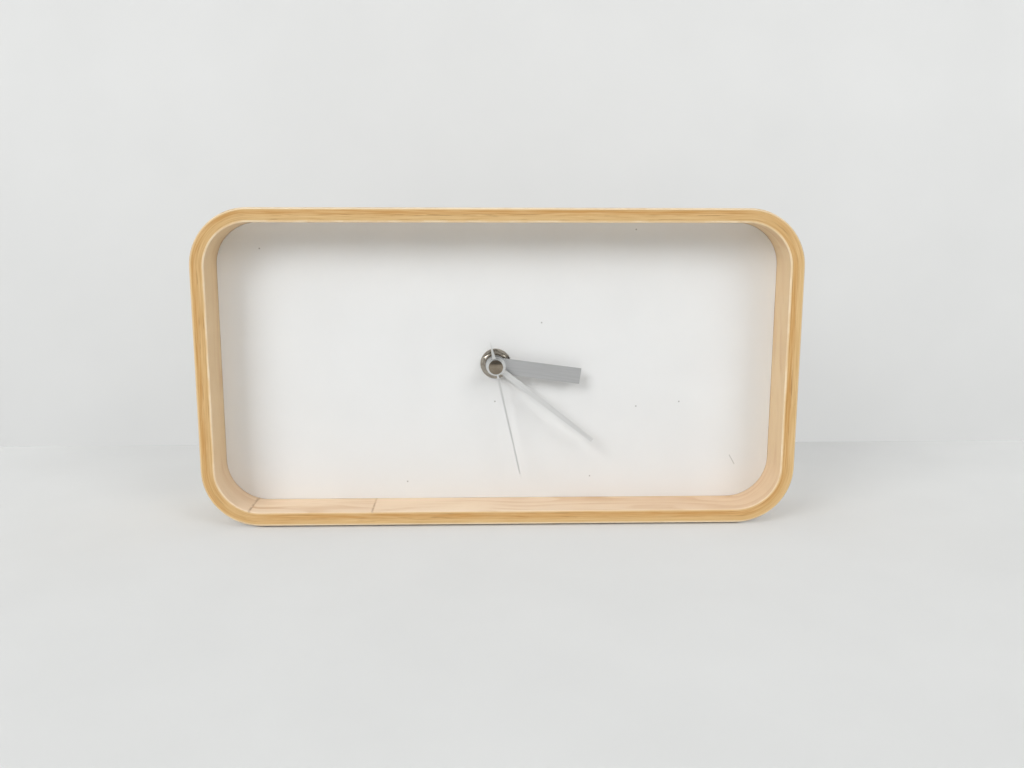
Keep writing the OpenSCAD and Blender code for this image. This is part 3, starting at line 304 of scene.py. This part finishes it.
def sprayed_dial():
    """White lacquer sprayed on card: matt, faintly uneven, with a few specks of dust caught in it."""
    material, tree = start("sprayed_white_lacquer")
    mottle = add(tree, "ShaderNodeTexNoise", {"Vector": cells(tree, (30, 30, 30)), "Scale": 1, "Detail": 3})
    uneven = add(tree, "ShaderNodeMapRange", {0: mottle, 1: 0.3, 2: 0.7})
    white = linear("#e8e9e9")
    paint = add(tree, "ShaderNodeMix", {0: uneven, 6: white, 7: linear("#ebecec")}, data_type="RGBA")
    # one cell in ten, each 20 mm wide, holds a speck about 0.6 mm across
    speck_cell = 20
    spread = add(tree, "ShaderNodeSeparateXYZ", {0: cells(tree, [speck_cell] * 3)}).outputs
    flat = add(tree, "ShaderNodeCombineXYZ", {0: spread["X"], 1: spread["Z"]})
    scatter = add(tree, "ShaderNodeTexVoronoi", {"Vector": flat, "Scale": 1}, voronoi_dimensions="2D")
    chance = add(tree, "ShaderNodeSeparateColor", {0: scatter.outputs["Color"]}).outputs["Red"]
    chosen = add(tree, "ShaderNodeMath", {0: chance, 1: 0.9}, operation="GREATER_THAN")
    near = add(
        tree,
        "ShaderNodeMapRange",
        {0: scatter.outputs["Distance"], 1: 0.2 / speck_cell, 2: 0.44 / speck_cell, 3: 0.7, 4: 0.0},
    )
    dust = add(tree, "ShaderNodeMath", {0: near, 1: chosen}, operation="MULTIPLY")
    dusty = add(tree, "ShaderNodeMix", {0: dust, 6: paint, 7: linear("#8f8d88")}, data_type="RGBA")
    # a rub mark 5 mm long and 0.4 mm wide slants low on the right
    mark_place = (103.1 * MM, 0, 22.8 * MM)
    mark_half = (0, 10, 2.3)
    mark = cells(tree, centre=mark_place, turn=math.radians(-30))
    folded = add(tree, "ShaderNodeVectorMath", {0: mark}, operation="ABSOLUTE")
    past = add(tree, "ShaderNodeVectorMath", {0: folded, 1: mark_half}, operation="SUBTRACT")
    beyond = add(tree, "ShaderNodeVectorMath", {0: past, 1: (0, 0, 0)}, operation="MAXIMUM")
    off = add(tree, "ShaderNodeVectorMath", {0: beyond}, operation="LENGTH")
    rubbed = add(tree, "ShaderNodeMapRange", {0: off, 1: 0.08, 2: 0.3, 3: 0.55, 4: 0.0})
    dusty = add(tree, "ShaderNodeMix", {0: rubbed, 6: dusty, 7: linear("#9fa19c")}, data_type="RGBA")
    # the spray dried to a faint orange peel of 0.9 mm
    peel = add(tree, "ShaderNodeTexNoise", {"Vector": cells(tree, [0.9] * 3), "Scale": 1, "Detail": 2})
    gloss = add(tree, "ShaderNodeMapRange", {0: peel, 1: 0.3, 2: 0.7, 3: 0.5, 4: 0.62})
    bump = add(tree, "ShaderNodeBump", {"Height": peel, "Distance": 0.01 * MM, "Strength": 0.3})
    skin = add(
        tree,
        "ShaderNodeBsdfPrincipled",
        {"Base Color": dusty, "Roughness": gloss, "Normal": bump, "Specular IOR Level": 0.3},
    )
    add(tree, "ShaderNodeOutputMaterial", {"Surface": skin})
    return material


def satin_sheet(name, pale, dull, rough, turn=0.0, metal=1.0, eye=0.0):
    """Rolled sheet with a satin finish: fine lines along the blade that blur what it mirrors. A hand's eye,
    of a radius in mm, is pressed to a low polished cone."""
    material, tree = start(name)
    # lines are drawn 0.25 mm apart, coarser than a real satin finish, so that they show
    along = cells(tree, (0.25, 2, 14), hub, turn)
    lines = add(tree, "ShaderNodeTexNoise", {"Vector": along, "Scale": 1, "Detail": 2})
    worn = add(tree, "ShaderNodeMapRange", {0: lines, 1: 0.3, 2: 0.7})
    sheet = add(tree, "ShaderNodeMix", {0: worn, 6: linear(pale), 7: linear(dull)}, data_type="RGBA")
    about = cells(tree, centre=hub)
    flat = add(tree, "ShaderNodeVectorMath", {0: about, 1: (1, 0, 1)}, operation="MULTIPLY")
    radius = add(tree, "ShaderNodeVectorMath", {0: flat}, operation="LENGTH")
    blade = add(tree, "ShaderNodeMath", {0: radius, 1: eye}, operation="GREATER_THAN")
    satin = add(tree, "ShaderNodeMapRange", {0: lines, 1: 0.3, 2: 0.7, 3: rough - 0.05, 4: rough + 0.05})
    polish = add(tree, "ShaderNodeMapRange", {0: blade, 3: 0.5, 4: 1.0})
    gloss = add(tree, "ShaderNodeMath", {0: satin, 1: polish}, operation="MULTIPLY")
    plated = add(tree, "ShaderNodeMapRange", {0: blade, 3: 1.0, 4: metal})
    fall = add(tree, "ShaderNodeMath", {0: radius, 1: eye}, operation="MINIMUM")
    cone = add(
        tree, "ShaderNodeBump", {"Height": fall, "Distance": 0.12 * MM, "Strength": 1.0}, invert=True
    )
    bump = add(
        tree,
        "ShaderNodeBump",
        {"Height": lines, "Distance": 0.004 * MM, "Strength": 0.3, "Normal": cone},
    )
    skin = add(
        tree,
        "ShaderNodeBsdfPrincipled",
        {"Base Color": sheet, "Roughness": gloss, "Normal": bump, "Metallic": plated},
    )
    add(tree, "ShaderNodeOutputMaterial", {"Surface": skin})
    return material


def turned_metal(name, pale, dull, rough):
    """Metal turned on a lathe and polished: rings round the hub's axis, and patches of light tarnish."""
    material, tree = start(name)
    about = cells(tree, centre=hub)
    flat = add(tree, "ShaderNodeVectorMath", {0: about, 1: (1, 0, 1)}, operation="MULTIPLY")
    radius = add(tree, "ShaderNodeVectorMath", {0: flat}, operation="LENGTH")
    # tool marks are drawn 0.22 mm apart, coarser than real ones, so that they show
    mark_gap = 0.22
    ring = add(tree, "ShaderNodeMath", {0: radius, 1: mark_gap}, operation="DIVIDE")
    marks = add(tree, "ShaderNodeTexNoise", {"W": ring, "Scale": 1, "Detail": 2}, noise_dimensions="1D")
    tarnish = add(tree, "ShaderNodeTexNoise", {"Vector": cells(tree, [2.5] * 3), "Scale": 1, "Detail": 3})
    dulled = add(tree, "ShaderNodeMapRange", {0: tarnish, 1: 0.35, 2: 0.75})
    metal = add(tree, "ShaderNodeMix", {0: dulled, 6: linear(pale), 7: linear(dull)}, data_type="RGBA")
    gloss = add(tree, "ShaderNodeMapRange", {0: tarnish, 1: 0.3, 2: 0.75, 3: rough, 4: rough + 0.12})
    # within a millimetre of the axis the marks run out
    off_axis = add(tree, "ShaderNodeMapRange", {0: radius, 1: 0.4, 2: 1.0})
    slope = add(tree, "ShaderNodeNewGeometry").outputs
    shape = add(
        tree,
        "ShaderNodeMix",
        {0: off_axis, 4: slope["True Normal"], 5: slope["Normal"]},
        data_type="VECTOR",
    )
    cut = add(tree, "ShaderNodeMath", {0: marks, 1: off_axis}, operation="MULTIPLY")
    bump = add(
        tree,
        "ShaderNodeBump",
        {"Height": cut, "Distance": 0.01 * MM, "Strength": 0.15, "Normal": shape},
    )
    skin = add(
        tree,
        "ShaderNodeBsdfPrincipled",
        {"Base Color": metal, "Roughness": gloss, "Normal": bump, "Metallic": 1.0},
    )
    add(tree, "ShaderNodeOutputMaterial", {"Surface": skin})
    return material


def moulded(name, shade, flow, rough, grit, depth, glow=0.0):
    """Moulded plastic or rubber: an even grain from the mould, of a width and depth in mm, and a slow
    change of shade where it flowed. Some of it lets light in."""
    material, tree = start(name)
    grain = add(tree, "ShaderNodeTexNoise", {"Vector": cells(tree, [grit] * 3), "Scale": 1, "Detail": 2})
    swirl = add(tree, "ShaderNodeTexNoise", {"Vector": cells(tree, (14, 14, 14)), "Scale": 1, "Detail": 2})
    swirled = add(tree, "ShaderNodeMapRange", {0: swirl, 1: 0.35, 2: 0.75})
    colour = add(tree, "ShaderNodeMix", {0: swirled, 6: linear(shade), 7: linear(flow)}, data_type="RGBA")
    gloss = add(tree, "ShaderNodeMapRange", {0: grain, 1: 0.3, 2: 0.7, 3: rough - 0.06, 4: rough + 0.06})
    bump = add(tree, "ShaderNodeBump", {"Height": grain, "Distance": depth * MM, "Strength": 0.5})
    skin = add(
        tree,
        "ShaderNodeBsdfPrincipled",
        {
            "Base Color": colour,
            "Roughness": gloss,
            "Normal": bump,
            "Subsurface Weight": glow,
            "Subsurface Scale": 1 * MM,
        },
    )
    add(tree, "ShaderNodeOutputMaterial", {"Surface": skin})
    return material


def raw_fibreboard():
    """Raw pressed fibreboard: brown felt with pale and dark flecks of fibre."""
    material, tree = start("raw_fibreboard")
    felt = add(
        tree,
        "ShaderNodeTexNoise",
        {"Vector": cells(tree, (1.4, 1.4, 1.4)), "Scale": 1, "Detail": 4, "Roughness": 0.7},
    )
    patch = add(tree, "ShaderNodeTexNoise", {"Vector": cells(tree, (22, 22, 22)), "Scale": 1, "Detail": 2})
    # fibres 2.6 mm long and 0.35 mm wide
    fibre = add(
        tree,
        "ShaderNodeTexNoise",
        {"Vector": cells(tree, (2.6, 2.6, 0.35), turn=0.65), "Scale": 1, "Detail": 2, "Distortion": 1.5},
    )
    patched = add(tree, "ShaderNodeMapRange", {0: patch, 1: 0.3, 2: 0.7})
    dull = linear("#a98b66")
    brown = add(tree, "ShaderNodeMix", {0: patched, 6: dull, 7: linear("#b5976f")}, data_type="RGBA")
    dark = add(tree, "ShaderNodeMapRange", {0: felt, 1: 0.5, 2: 0.75, 3: 0.0, 4: 0.6})
    brown = add(tree, "ShaderNodeMix", {0: dark, 6: brown, 7: linear("#8a6d4a")}, data_type="RGBA")
    light = add(tree, "ShaderNodeMapRange", {0: fibre, 1: 0.62, 2: 0.75, 3: 0.0, 4: 0.6})
    brown = add(tree, "ShaderNodeMix", {0: light, 6: brown, 7: linear("#cdb48e")}, data_type="RGBA")
    gloss = add(tree, "ShaderNodeMapRange", {0: felt, 1: 0.3, 2: 0.7, 3: 0.78, 4: 0.92})
    bump = add(tree, "ShaderNodeBump", {"Height": felt, "Distance": 0.06 * MM, "Strength": 0.5})
    skin = add(
        tree,
        "ShaderNodeBsdfPrincipled",
        {"Base Color": brown, "Roughness": gloss, "Normal": bump, "Specular IOR Level": 0.2},
    )
    add(tree, "ShaderNodeOutputMaterial", {"Surface": skin})
    return material


def planed_pine(name, grain, seed):
    """Planed pine strip: yellow, with resin-dark late wood in lines along its length."""
    material, tree = start(name)
    rings = add(
        tree,
        "ShaderNodeTexNoise",
        {"Vector": cells(tree, grain, (seed, 0.02, 0)), "Scale": 1, "Detail": 2, "Distortion": 0.4},
    )
    late = add(tree, "ShaderNodeMapRange", {0: rings, 1: 0.48, 2: 0.66})
    yellow = linear("#dcc08d")
    wood = add(tree, "ShaderNodeMix", {0: late, 6: yellow, 7: linear("#bd9357")}, data_type="RGBA")
    pore_size = [s / 5 for s in grain]
    fine = add(tree, "ShaderNodeTexNoise", {"Vector": cells(tree, pore_size), "Scale": 1, "Detail": 2})
    pores = add(tree, "ShaderNodeMapRange", {0: fine, 1: 0.55, 2: 0.8, 3: 0.0, 4: 0.4})
    wood = add(tree, "ShaderNodeMix", {0: pores, 6: wood, 7: linear("#a67c45")}, data_type="RGBA")
    gloss = add(tree, "ShaderNodeMapRange", {0: fine, 1: 0.3, 2: 0.7, 3: 0.6, 4: 0.75})
    bump = add(tree, "ShaderNodeBump", {"Height": fine, "Distance": 0.05 * MM, "Strength": 0.5})
    skin = add(
        tree,
        "ShaderNodeBsdfPrincipled",
        {"Base Color": wood, "Roughness": gloss, "Normal": bump, "Specular IOR Level": 0.3},
    )
    add(tree, "ShaderNodeOutputMaterial", {"Surface": skin})
    return material


def shrink_sleeve():
    """Plastic sleeve shrunk on the cell: glossy slate, with one plain pale band at the stud end."""
    material, tree = start("shrunk_plastic_sleeve")
    band_wide = 12
    band_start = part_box("cell_sleeve")[1].x / MM - band_wide
    along = add(tree, "ShaderNodeSeparateXYZ", {0: cells(tree)}).outputs["X"]
    band = add(tree, "ShaderNodeMath", {0: along, 1: band_start}, operation="GREATER_THAN")
    haze = add(tree, "ShaderNodeTexNoise", {"Vector": cells(tree, (5, 5, 5)), "Scale": 1, "Detail": 3})
    hazed = add(tree, "ShaderNodeMapRange", {0: haze, 1: 0.3, 2: 0.7})
    dark = linear("#39434c")
    slate = add(tree, "ShaderNodeMix", {0: hazed, 6: dark, 7: linear("#434e58")}, data_type="RGBA")
    ink = add(tree, "ShaderNodeMix", {0: band, 6: slate, 7: linear("#c9c6bc")}, data_type="RGBA")
    gloss = add(tree, "ShaderNodeMapRange", {0: haze, 1: 0.3, 2: 0.7, 3: 0.28, 4: 0.4})
    bump = add(tree, "ShaderNodeBump", {"Height": haze, "Distance": 0.04 * MM, "Strength": 0.3})
    skin = add(
        tree,
        "ShaderNodeBsdfPrincipled",
        {"Base Color": ink, "Roughness": gloss, "Normal": bump, "Coat Weight": 0.4, "Coat Roughness": 0.12},
    )
    add(tree, "ShaderNodeOutputMaterial", {"Surface": skin})
    return material


def enamelled_wire():
    """Enamelled copper wire wound in close turns: a painted highlight on each turn, and painted shade
    between.
    """
    material, tree = start("enamelled_copper_wire")
    # turns are drawn 0.2 mm apart, coarser than the real wire, so that they show
    turn_gap = 0.2
    along = add(tree, "ShaderNodeSeparateXYZ", {0: cells(tree, (turn_gap, 1, 1))}).outputs["X"]
    phase = add(tree, "ShaderNodeMath", {0: along, 1: 2 * math.pi}, operation="MULTIPLY")
    turns = add(tree, "ShaderNodeMath", {0: phase}, operation="SINE")
    # painted light: each turn's crest is coloured bright copper as if lit, the dip between dark brown as if
    # shaded
    painted_crest_light = add(tree, "ShaderNodeMapRange", {0: turns, 1: -1.0, 2: 1.0})
    brown = linear("#7d3f1d")
    copper = add(tree, "ShaderNodeMix", {0: painted_crest_light, 6: brown, 7: linear("#c9763f")}, data_type="RGBA")
    gloss = add(tree, "ShaderNodeMapRange", {0: turns, 1: -1.0, 2: 1.0, 3: 0.4, 4: 0.25})
    bump = add(tree, "ShaderNodeBump", {"Height": turns, "Distance": 0.05 * MM, "Strength": 0.6})
    skin = add(
        tree,
        "ShaderNodeBsdfPrincipled",
        {"Base Color": copper, "Roughness": gloss, "Normal": bump, "Metallic": 1.0, "Coat Weight": 0.6},
    )
    add(tree, "ShaderNodeOutputMaterial", {"Surface": skin})
    return material


def solder_mask():
    """Glass fibre board under green solder mask: glossy, with paler copper tracks beneath it."""
    material, tree = start("green_solder_mask")
    # the tracks part the green into fields 1.5 mm long and 0.75 mm wide, the brick's half and quarter cell
    tracks = add(
        tree,
        "ShaderNodeTexBrick",
        {
            "Vector": cells(tree, (3, 3, 3), turn=math.pi / 2),
            "Color1": linear("#2d6a43"),
            "Color2": linear("#29613d"),
            "Mortar": linear("#4f9161"),
            "Scale": 1,
            "Mortar Size": 0.06,
        },
    )
    weave = add(tree, "ShaderNodeTexNoise", {"Vector": cells(tree, [0.4] * 3), "Scale": 1, "Detail": 2})
    dark = add(tree, "ShaderNodeMapRange", {0: weave, 1: 0.5, 2: 0.8, 3: 0.0, 4: 0.4})
    green = add(tree, "ShaderNodeMix", {0: dark, 6: tracks, 7: linear("#1f4d30")}, data_type="RGBA")
    gloss = add(tree, "ShaderNodeMapRange", {0: weave, 1: 0.3, 2: 0.7, 3: 0.3, 4: 0.45})
    skin = add(
        tree,
        "ShaderNodeBsdfPrincipled",
        {"Base Color": green, "Roughness": gloss, "Coat Weight": 0.3},
    )
    add(tree, "ShaderNodeOutputMaterial", {"Surface": skin})
    return material


def seen_rays(tree):
    """One for rays that the camera sees, straight or by a mirror or glass, and zero for the others."""
    ray = add(tree, "ShaderNodeLightPath").outputs
    mirrored = add(
        tree,
        "ShaderNodeMath",
        {0: ray["Is Glossy Ray"], 1: ray["Is Transmission Ray"]},
        operation="MAXIMUM",
    )
    return add(tree, "ShaderNodeMath", {0: ray["Is Camera Ray"], 1: mirrored}, operation="MAXIMUM")


def backdrop_paper(name, shown):
    """Matt backdrop paper. A share of it shows at its own paleness, which softens its shadows, with a
    painted shade that dims it low down. Its back is clear, so that the clock shows from behind the wall
    too."""
    material, tree = start(name)
    cloud = add(tree, "ShaderNodeTexNoise", {"Vector": cells(tree, (60, 60, 60)), "Scale": 1, "Detail": 3})
    clouded = add(tree, "ShaderNodeMapRange", {0: cloud, 1: 0.3, 2: 0.7})
    grey = linear("#e5e6e5")
    paper = add(tree, "ShaderNodeMix", {0: clouded, 6: grey, 7: linear("#e8e9e8")}, data_type="RGBA")
    lit = add(
        tree,
        "ShaderNodeBsdfPrincipled",
        {"Base Color": paper, "Roughness": 0.85, "Specular IOR Level": 0.15},
    )
    # painted shade: its glow is dimmer low down and reaches its full paleness 200 mm up
    height = add(tree, "ShaderNodeSeparateXYZ", {0: cells(tree, (200, 200, 200))}).outputs["Z"]
    level = add(tree, "ShaderNodeMapRange", {0: height, 1: 0.0, 2: 1.0, 3: 0.86, 4: 1.0})
    plain = add(tree, "ShaderNodeEmission", {"Color": paper, "Strength": level})
    # within 3 mm of the clock's foot more of the light that falls there shows, which leaves a dark line
    about = cells(tree, centre=(frame_mid.x, frame_mid.y, 0))
    folded = add(tree, "ShaderNodeVectorMath", {0: about}, operation="ABSOLUTE")
    foot = (frame_half.x - BEND, frame_half.y, 0)
    past = add(tree, "ShaderNodeVectorMath", {0: folded, 1: foot}, operation="SUBTRACT")
    beyond = add(tree, "ShaderNodeVectorMath", {0: past, 1: (0, 0, 0)}, operation="MAXIMUM")
    away = add(tree, "ShaderNodeVectorMath", {0: beyond}, operation="LENGTH")
    opened = add(tree, "ShaderNodeMapRange", {0: away, 1: 0.0, 2: 3.0, 3: 0.0, 4: shown})
    share = add(tree, "ShaderNodeMath", {0: seen_rays(tree), 1: opened}, operation="MULTIPLY")
    skin = add(tree, "ShaderNodeMixShader", {0: share, 1: lit, 2: plain})
    behind = add(tree, "ShaderNodeNewGeometry").outputs["Backfacing"]
    clear = add(tree, "ShaderNodeBsdfTransparent")
    sided = add(tree, "ShaderNodeMixShader", {0: behind, 1: skin, 2: clear})
    add(tree, "ShaderNodeOutputMaterial", {"Surface": sided})
    return material


def dress_frame():
    """The bent frame: two face veneers, the strip that closes the inner one, and the core between them."""
    inner = {
        "pale": "#f3dbbd",
        "warm": "#ebd0b2",
        "shaded_sides": "#e5c9a0",
        "flame": "#d5ae83",
        "pore": "#be966a",
        "figure": 0.8,
        "deep": 0.25,
        "wear_and_highlight": 0.8,
        "ends": 1.0,
        "foot": 0.35,
        "bare": 0.0,
        "whole": 0.5,
        "glue": 0.5,
    }
    outer = {
        "pale": "#e0c18f",
        "warm": "#d7b684",
        "shaded_sides": "#dcbc8a",
        "flame": "#c79d6b",
        "pore": "#b18657",
        "figure": 0.8,
        "deep": 0.0,
        "wear_and_highlight": 1.0,
        "ends": 0.4,
        "foot": 1.0,
        "bare": 0.2,
        "whole": 0.85,
        "glue": 0.0,
    }
    dress(lacquered_maple("lacquered_maple_inside", seed=0.0, **inner), "inner_veneer")
    dress(lacquered_maple("lacquered_maple_strip", seed=0.7, **inner), "inner_patch")
    dress(lacquered_maple("lacquered_maple_outside", seed=1.9, **outer), "outer_veneer")
    dress(sanded_birch_edge(), "ply_core")


def dress_dial():
    """The white dial, its board and the four battens, each with its own grain."""
    along_x = (60, 1.6, 1.6)
    along_z = (1.6, 1.6, 60)
    dress(sprayed_dial(), "dial_sheet")
    dress(raw_fibreboard(), "dial_board")
    dress(planed_pine("planed_pine_top", along_x, seed=0.0), "batten_top")
    dress(planed_pine("planed_pine_bottom", along_x, seed=0.4), "batten_bottom")
    dress(planed_pine("planed_pine_left", along_z, seed=0.0), "batten_left")
    dress(planed_pine("planed_pine_right", along_z, seed=0.4), "batten_right")


def dress_hub_and_hands():
    """Plated hub, grey and silver hands, and the cap on the second hand."""
    nickel = turned_metal("polished_nickel_plate", "#b3aca1", "#8f877b", rough=0.16)
    brass = turned_metal("turned_brass", "#d0ac62", "#b08c48", rough=0.22)
    bronze = turned_metal("polished_bronze_nickel", "#9c9080", "#857a6b", rough=0.14)
    dress(nickel, "washer", "hex_nut")
    dress(brass, "bushing", "minute_pipe", "centre_wheel")
    dress(bronze, "second_cap")
    grey = satin_sheet("satin_grey_aluminium", "#c9c9ca", "#c1c2c2", rough=0.45, turn=HOUR_ANGLE, eye=4.5)
    silver = satin_sheet(
        "silver_lacquered_brass", "#e3e3e2", "#dadbda", rough=0.45, turn=MINUTE_ANGLE, metal=0.6, eye=4.2
    )
    needle = satin_sheet("satin_silver_needle", "#e6e6e5", "#dadbda", rough=0.42, eye=3.6)
    dress(grey, "hour_hand")
    dress(silver, "minute_hand")
    dress(needle, "second_hand")


def dress_movement():
    """The quartz movement: case, wheels, motor, circuit and cell."""
    case = moulded("textured_black_abs", "#1d1d1e", "#242425", rough=0.5, grit=0.35, depth=0.03)
    knob = moulded("smooth_black_abs", "#161617", "#202021", rough=0.36, grit=0.5, depth=0.015)
    rubber = moulded("moulded_rubber", "#191919", "#222222", rough=0.75, grit=0.3, depth=0.03)
    acetal = moulded("natural_acetal", "#e6e2d6", "#dcd7c8", rough=0.32, grit=0.6, depth=0.01, glow=0.15)
    resin = moulded("cast_black_resin", "#141416", "#1e1e20", rough=0.3, grit=1.0, depth=0.03)
    magnet = turned_metal("sintered_magnet", "#5b5d60", "#45474a", rough=0.5)
    steel = satin_sheet("rolled_motor_steel", "#8d9093", "#7b7e82", rough=0.4)
    plated = satin_sheet("nickel_plated_steel", "#c8c6c0", "#b5b2aa", rough=0.22)
    dress(case, "movement_case", "movement_cover")
    dress(knob, "setting_knob")
    dress(rubber, "gasket")
    dress(acetal, "hour_wheel", "third_wheel", "second_wheel", "intermediate_wheel", "rotor_pinion")
    dress(acetal, "middle_plate", "setting_stem", "coil_bobbin")
    dress(resin, "chip")
    dress(magnet, "rotor_magnet")
    dress(steel, "stator", "coil_core")
    dress(plated, "quartz_crystal", "positive_contact", "negative_contact", "cell_can")
    dress(enamelled_wire(), "coil_winding")
    dress(solder_mask(), "circuit_board")
    dress(shrink_sleeve(), "cell_sleeve")


def backdrop():
    """A pale floor, and a pale wall a little way behind the clock. The real frame's long sides bow in a
    little, so that a dark line shows under it: the floor lies that far down."""
    reach = 2.0
    tall = 2.4
    back = 124 * MM
    low = -0.8 * MM
    floor = [(-reach, -reach, low), (reach, -reach, low), (reach, reach, low), (-reach, reach, low)]
    wall = [(-reach, back, low), (reach, back, low), (reach, back, tall), (-reach, back, tall)]
    for name, corners, shown in (("floor", floor, 0.42), ("wall", wall, 0.78)):
        mesh = bpy.data.meshes.new(name)
        mesh.from_pydata(corners, [], [(0, 1, 2, 3)])
        mesh.materials.append(backdrop_paper(name + "_paper", shown))
        sheet = bpy.data.objects.new(name, mesh)
        scene.collection.objects.link(sheet)


def softbox(name, left, up, size, power):
    """A square soft light in front of the clock, so many degrees to the left and up, aimed at the hub."""
    away = 6.0
    side = math.radians(left)
    rise = math.radians(up)
    toward = Vector((-math.cos(rise) * math.sin(side), -math.cos(rise) * math.cos(side), math.sin(rise)))
    data = bpy.data.lights.new(name, "AREA")
    data.shape = "SQUARE"
    data.size = size
    data.energy = power
    light = bpy.data.objects.new(name, data)
    light.location = hub + away * toward
    light.rotation_euler = toward.to_track_quat("Z", "Y").to_euler()
    scene.collection.objects.link(light)


def room():
    """A pale room. Its light is dim low down and pale at the ceiling. To the camera it is pale all over,
    and in metal it is pale along the floor, dim above that and pale again at the ceiling."""
    world = bpy.data.worlds.new("pale_room")
    world.use_nodes = True
    tree = world.node_tree
    tree.nodes.clear()
    way = add(tree, "ShaderNodeTexCoord").outputs["Generated"]
    height = add(tree, "ShaderNodeSeparateXYZ", {0: way}).outputs["Z"]
    upward = add(tree, "ShaderNodeMapRange", {0: height, 1: 0.1, 2: 0.8})
    dusk = linear("#5c5c5c")
    tint = add(tree, "ShaderNodeMix", {0: upward, 6: dusk, 7: linear("#fafbfc")}, data_type="RGBA")
    dim = add(tree, "ShaderNodeBackground", {"Color": tint, "Strength": 0.6})
    pale = add(tree, "ShaderNodeBackground", {"Color": linear("#dfe0df"), "Strength": 1.0})
    skirting = add(tree, "ShaderNodeMapRange", {0: height, 1: 0.05, 2: 0.12, 3: 1.0, 4: 0.0})
    low = add(tree, "ShaderNodeMath", {0: skirting, 1: seen_rays(tree)}, operation="MULTIPLY")
    straight = add(tree, "ShaderNodeLightPath").outputs["Is Camera Ray"]
    shown = add(tree, "ShaderNodeMath", {0: low, 1: straight}, operation="MAXIMUM")
    walls = add(tree, "ShaderNodeMixShader", {0: shown, 1: dim, 2: pale})
    add(tree, "ShaderNodeOutputWorld", {"Surface": walls})
    scene.world = world


def camera():
    """At the height of the frame's top, a little left of the middle, looking slightly down."""
    pitch = math.radians(10.29)
    yaw = math.radians(1.80)
    roll = math.radians(0.10)
    data = bpy.data.cameras.new("camera")
    data.sensor_width = 36.0
    data.lens = 34.1
    data.clip_start = 10 * MM
    eye = bpy.data.objects.new("camera", data)
    eye.location = (-7.6 * MM, -417.8 * MM, 132.4 * MM)
    eye.rotation_euler = (math.pi / 2 - pitch, -roll, -yaw)
    scene.collection.objects.link(eye)
    scene.camera = eye


dress_frame()
dress_dial()
dress_hub_and_hands()
dress_movement()
backdrop()
softbox("window", left=42, up=30, size=2.8, power=180.0)
softbox("far_window", left=-41, up=33, size=2.5, power=95.0)
room()
camera()
scene.view_settings.view_transform = "Standard"
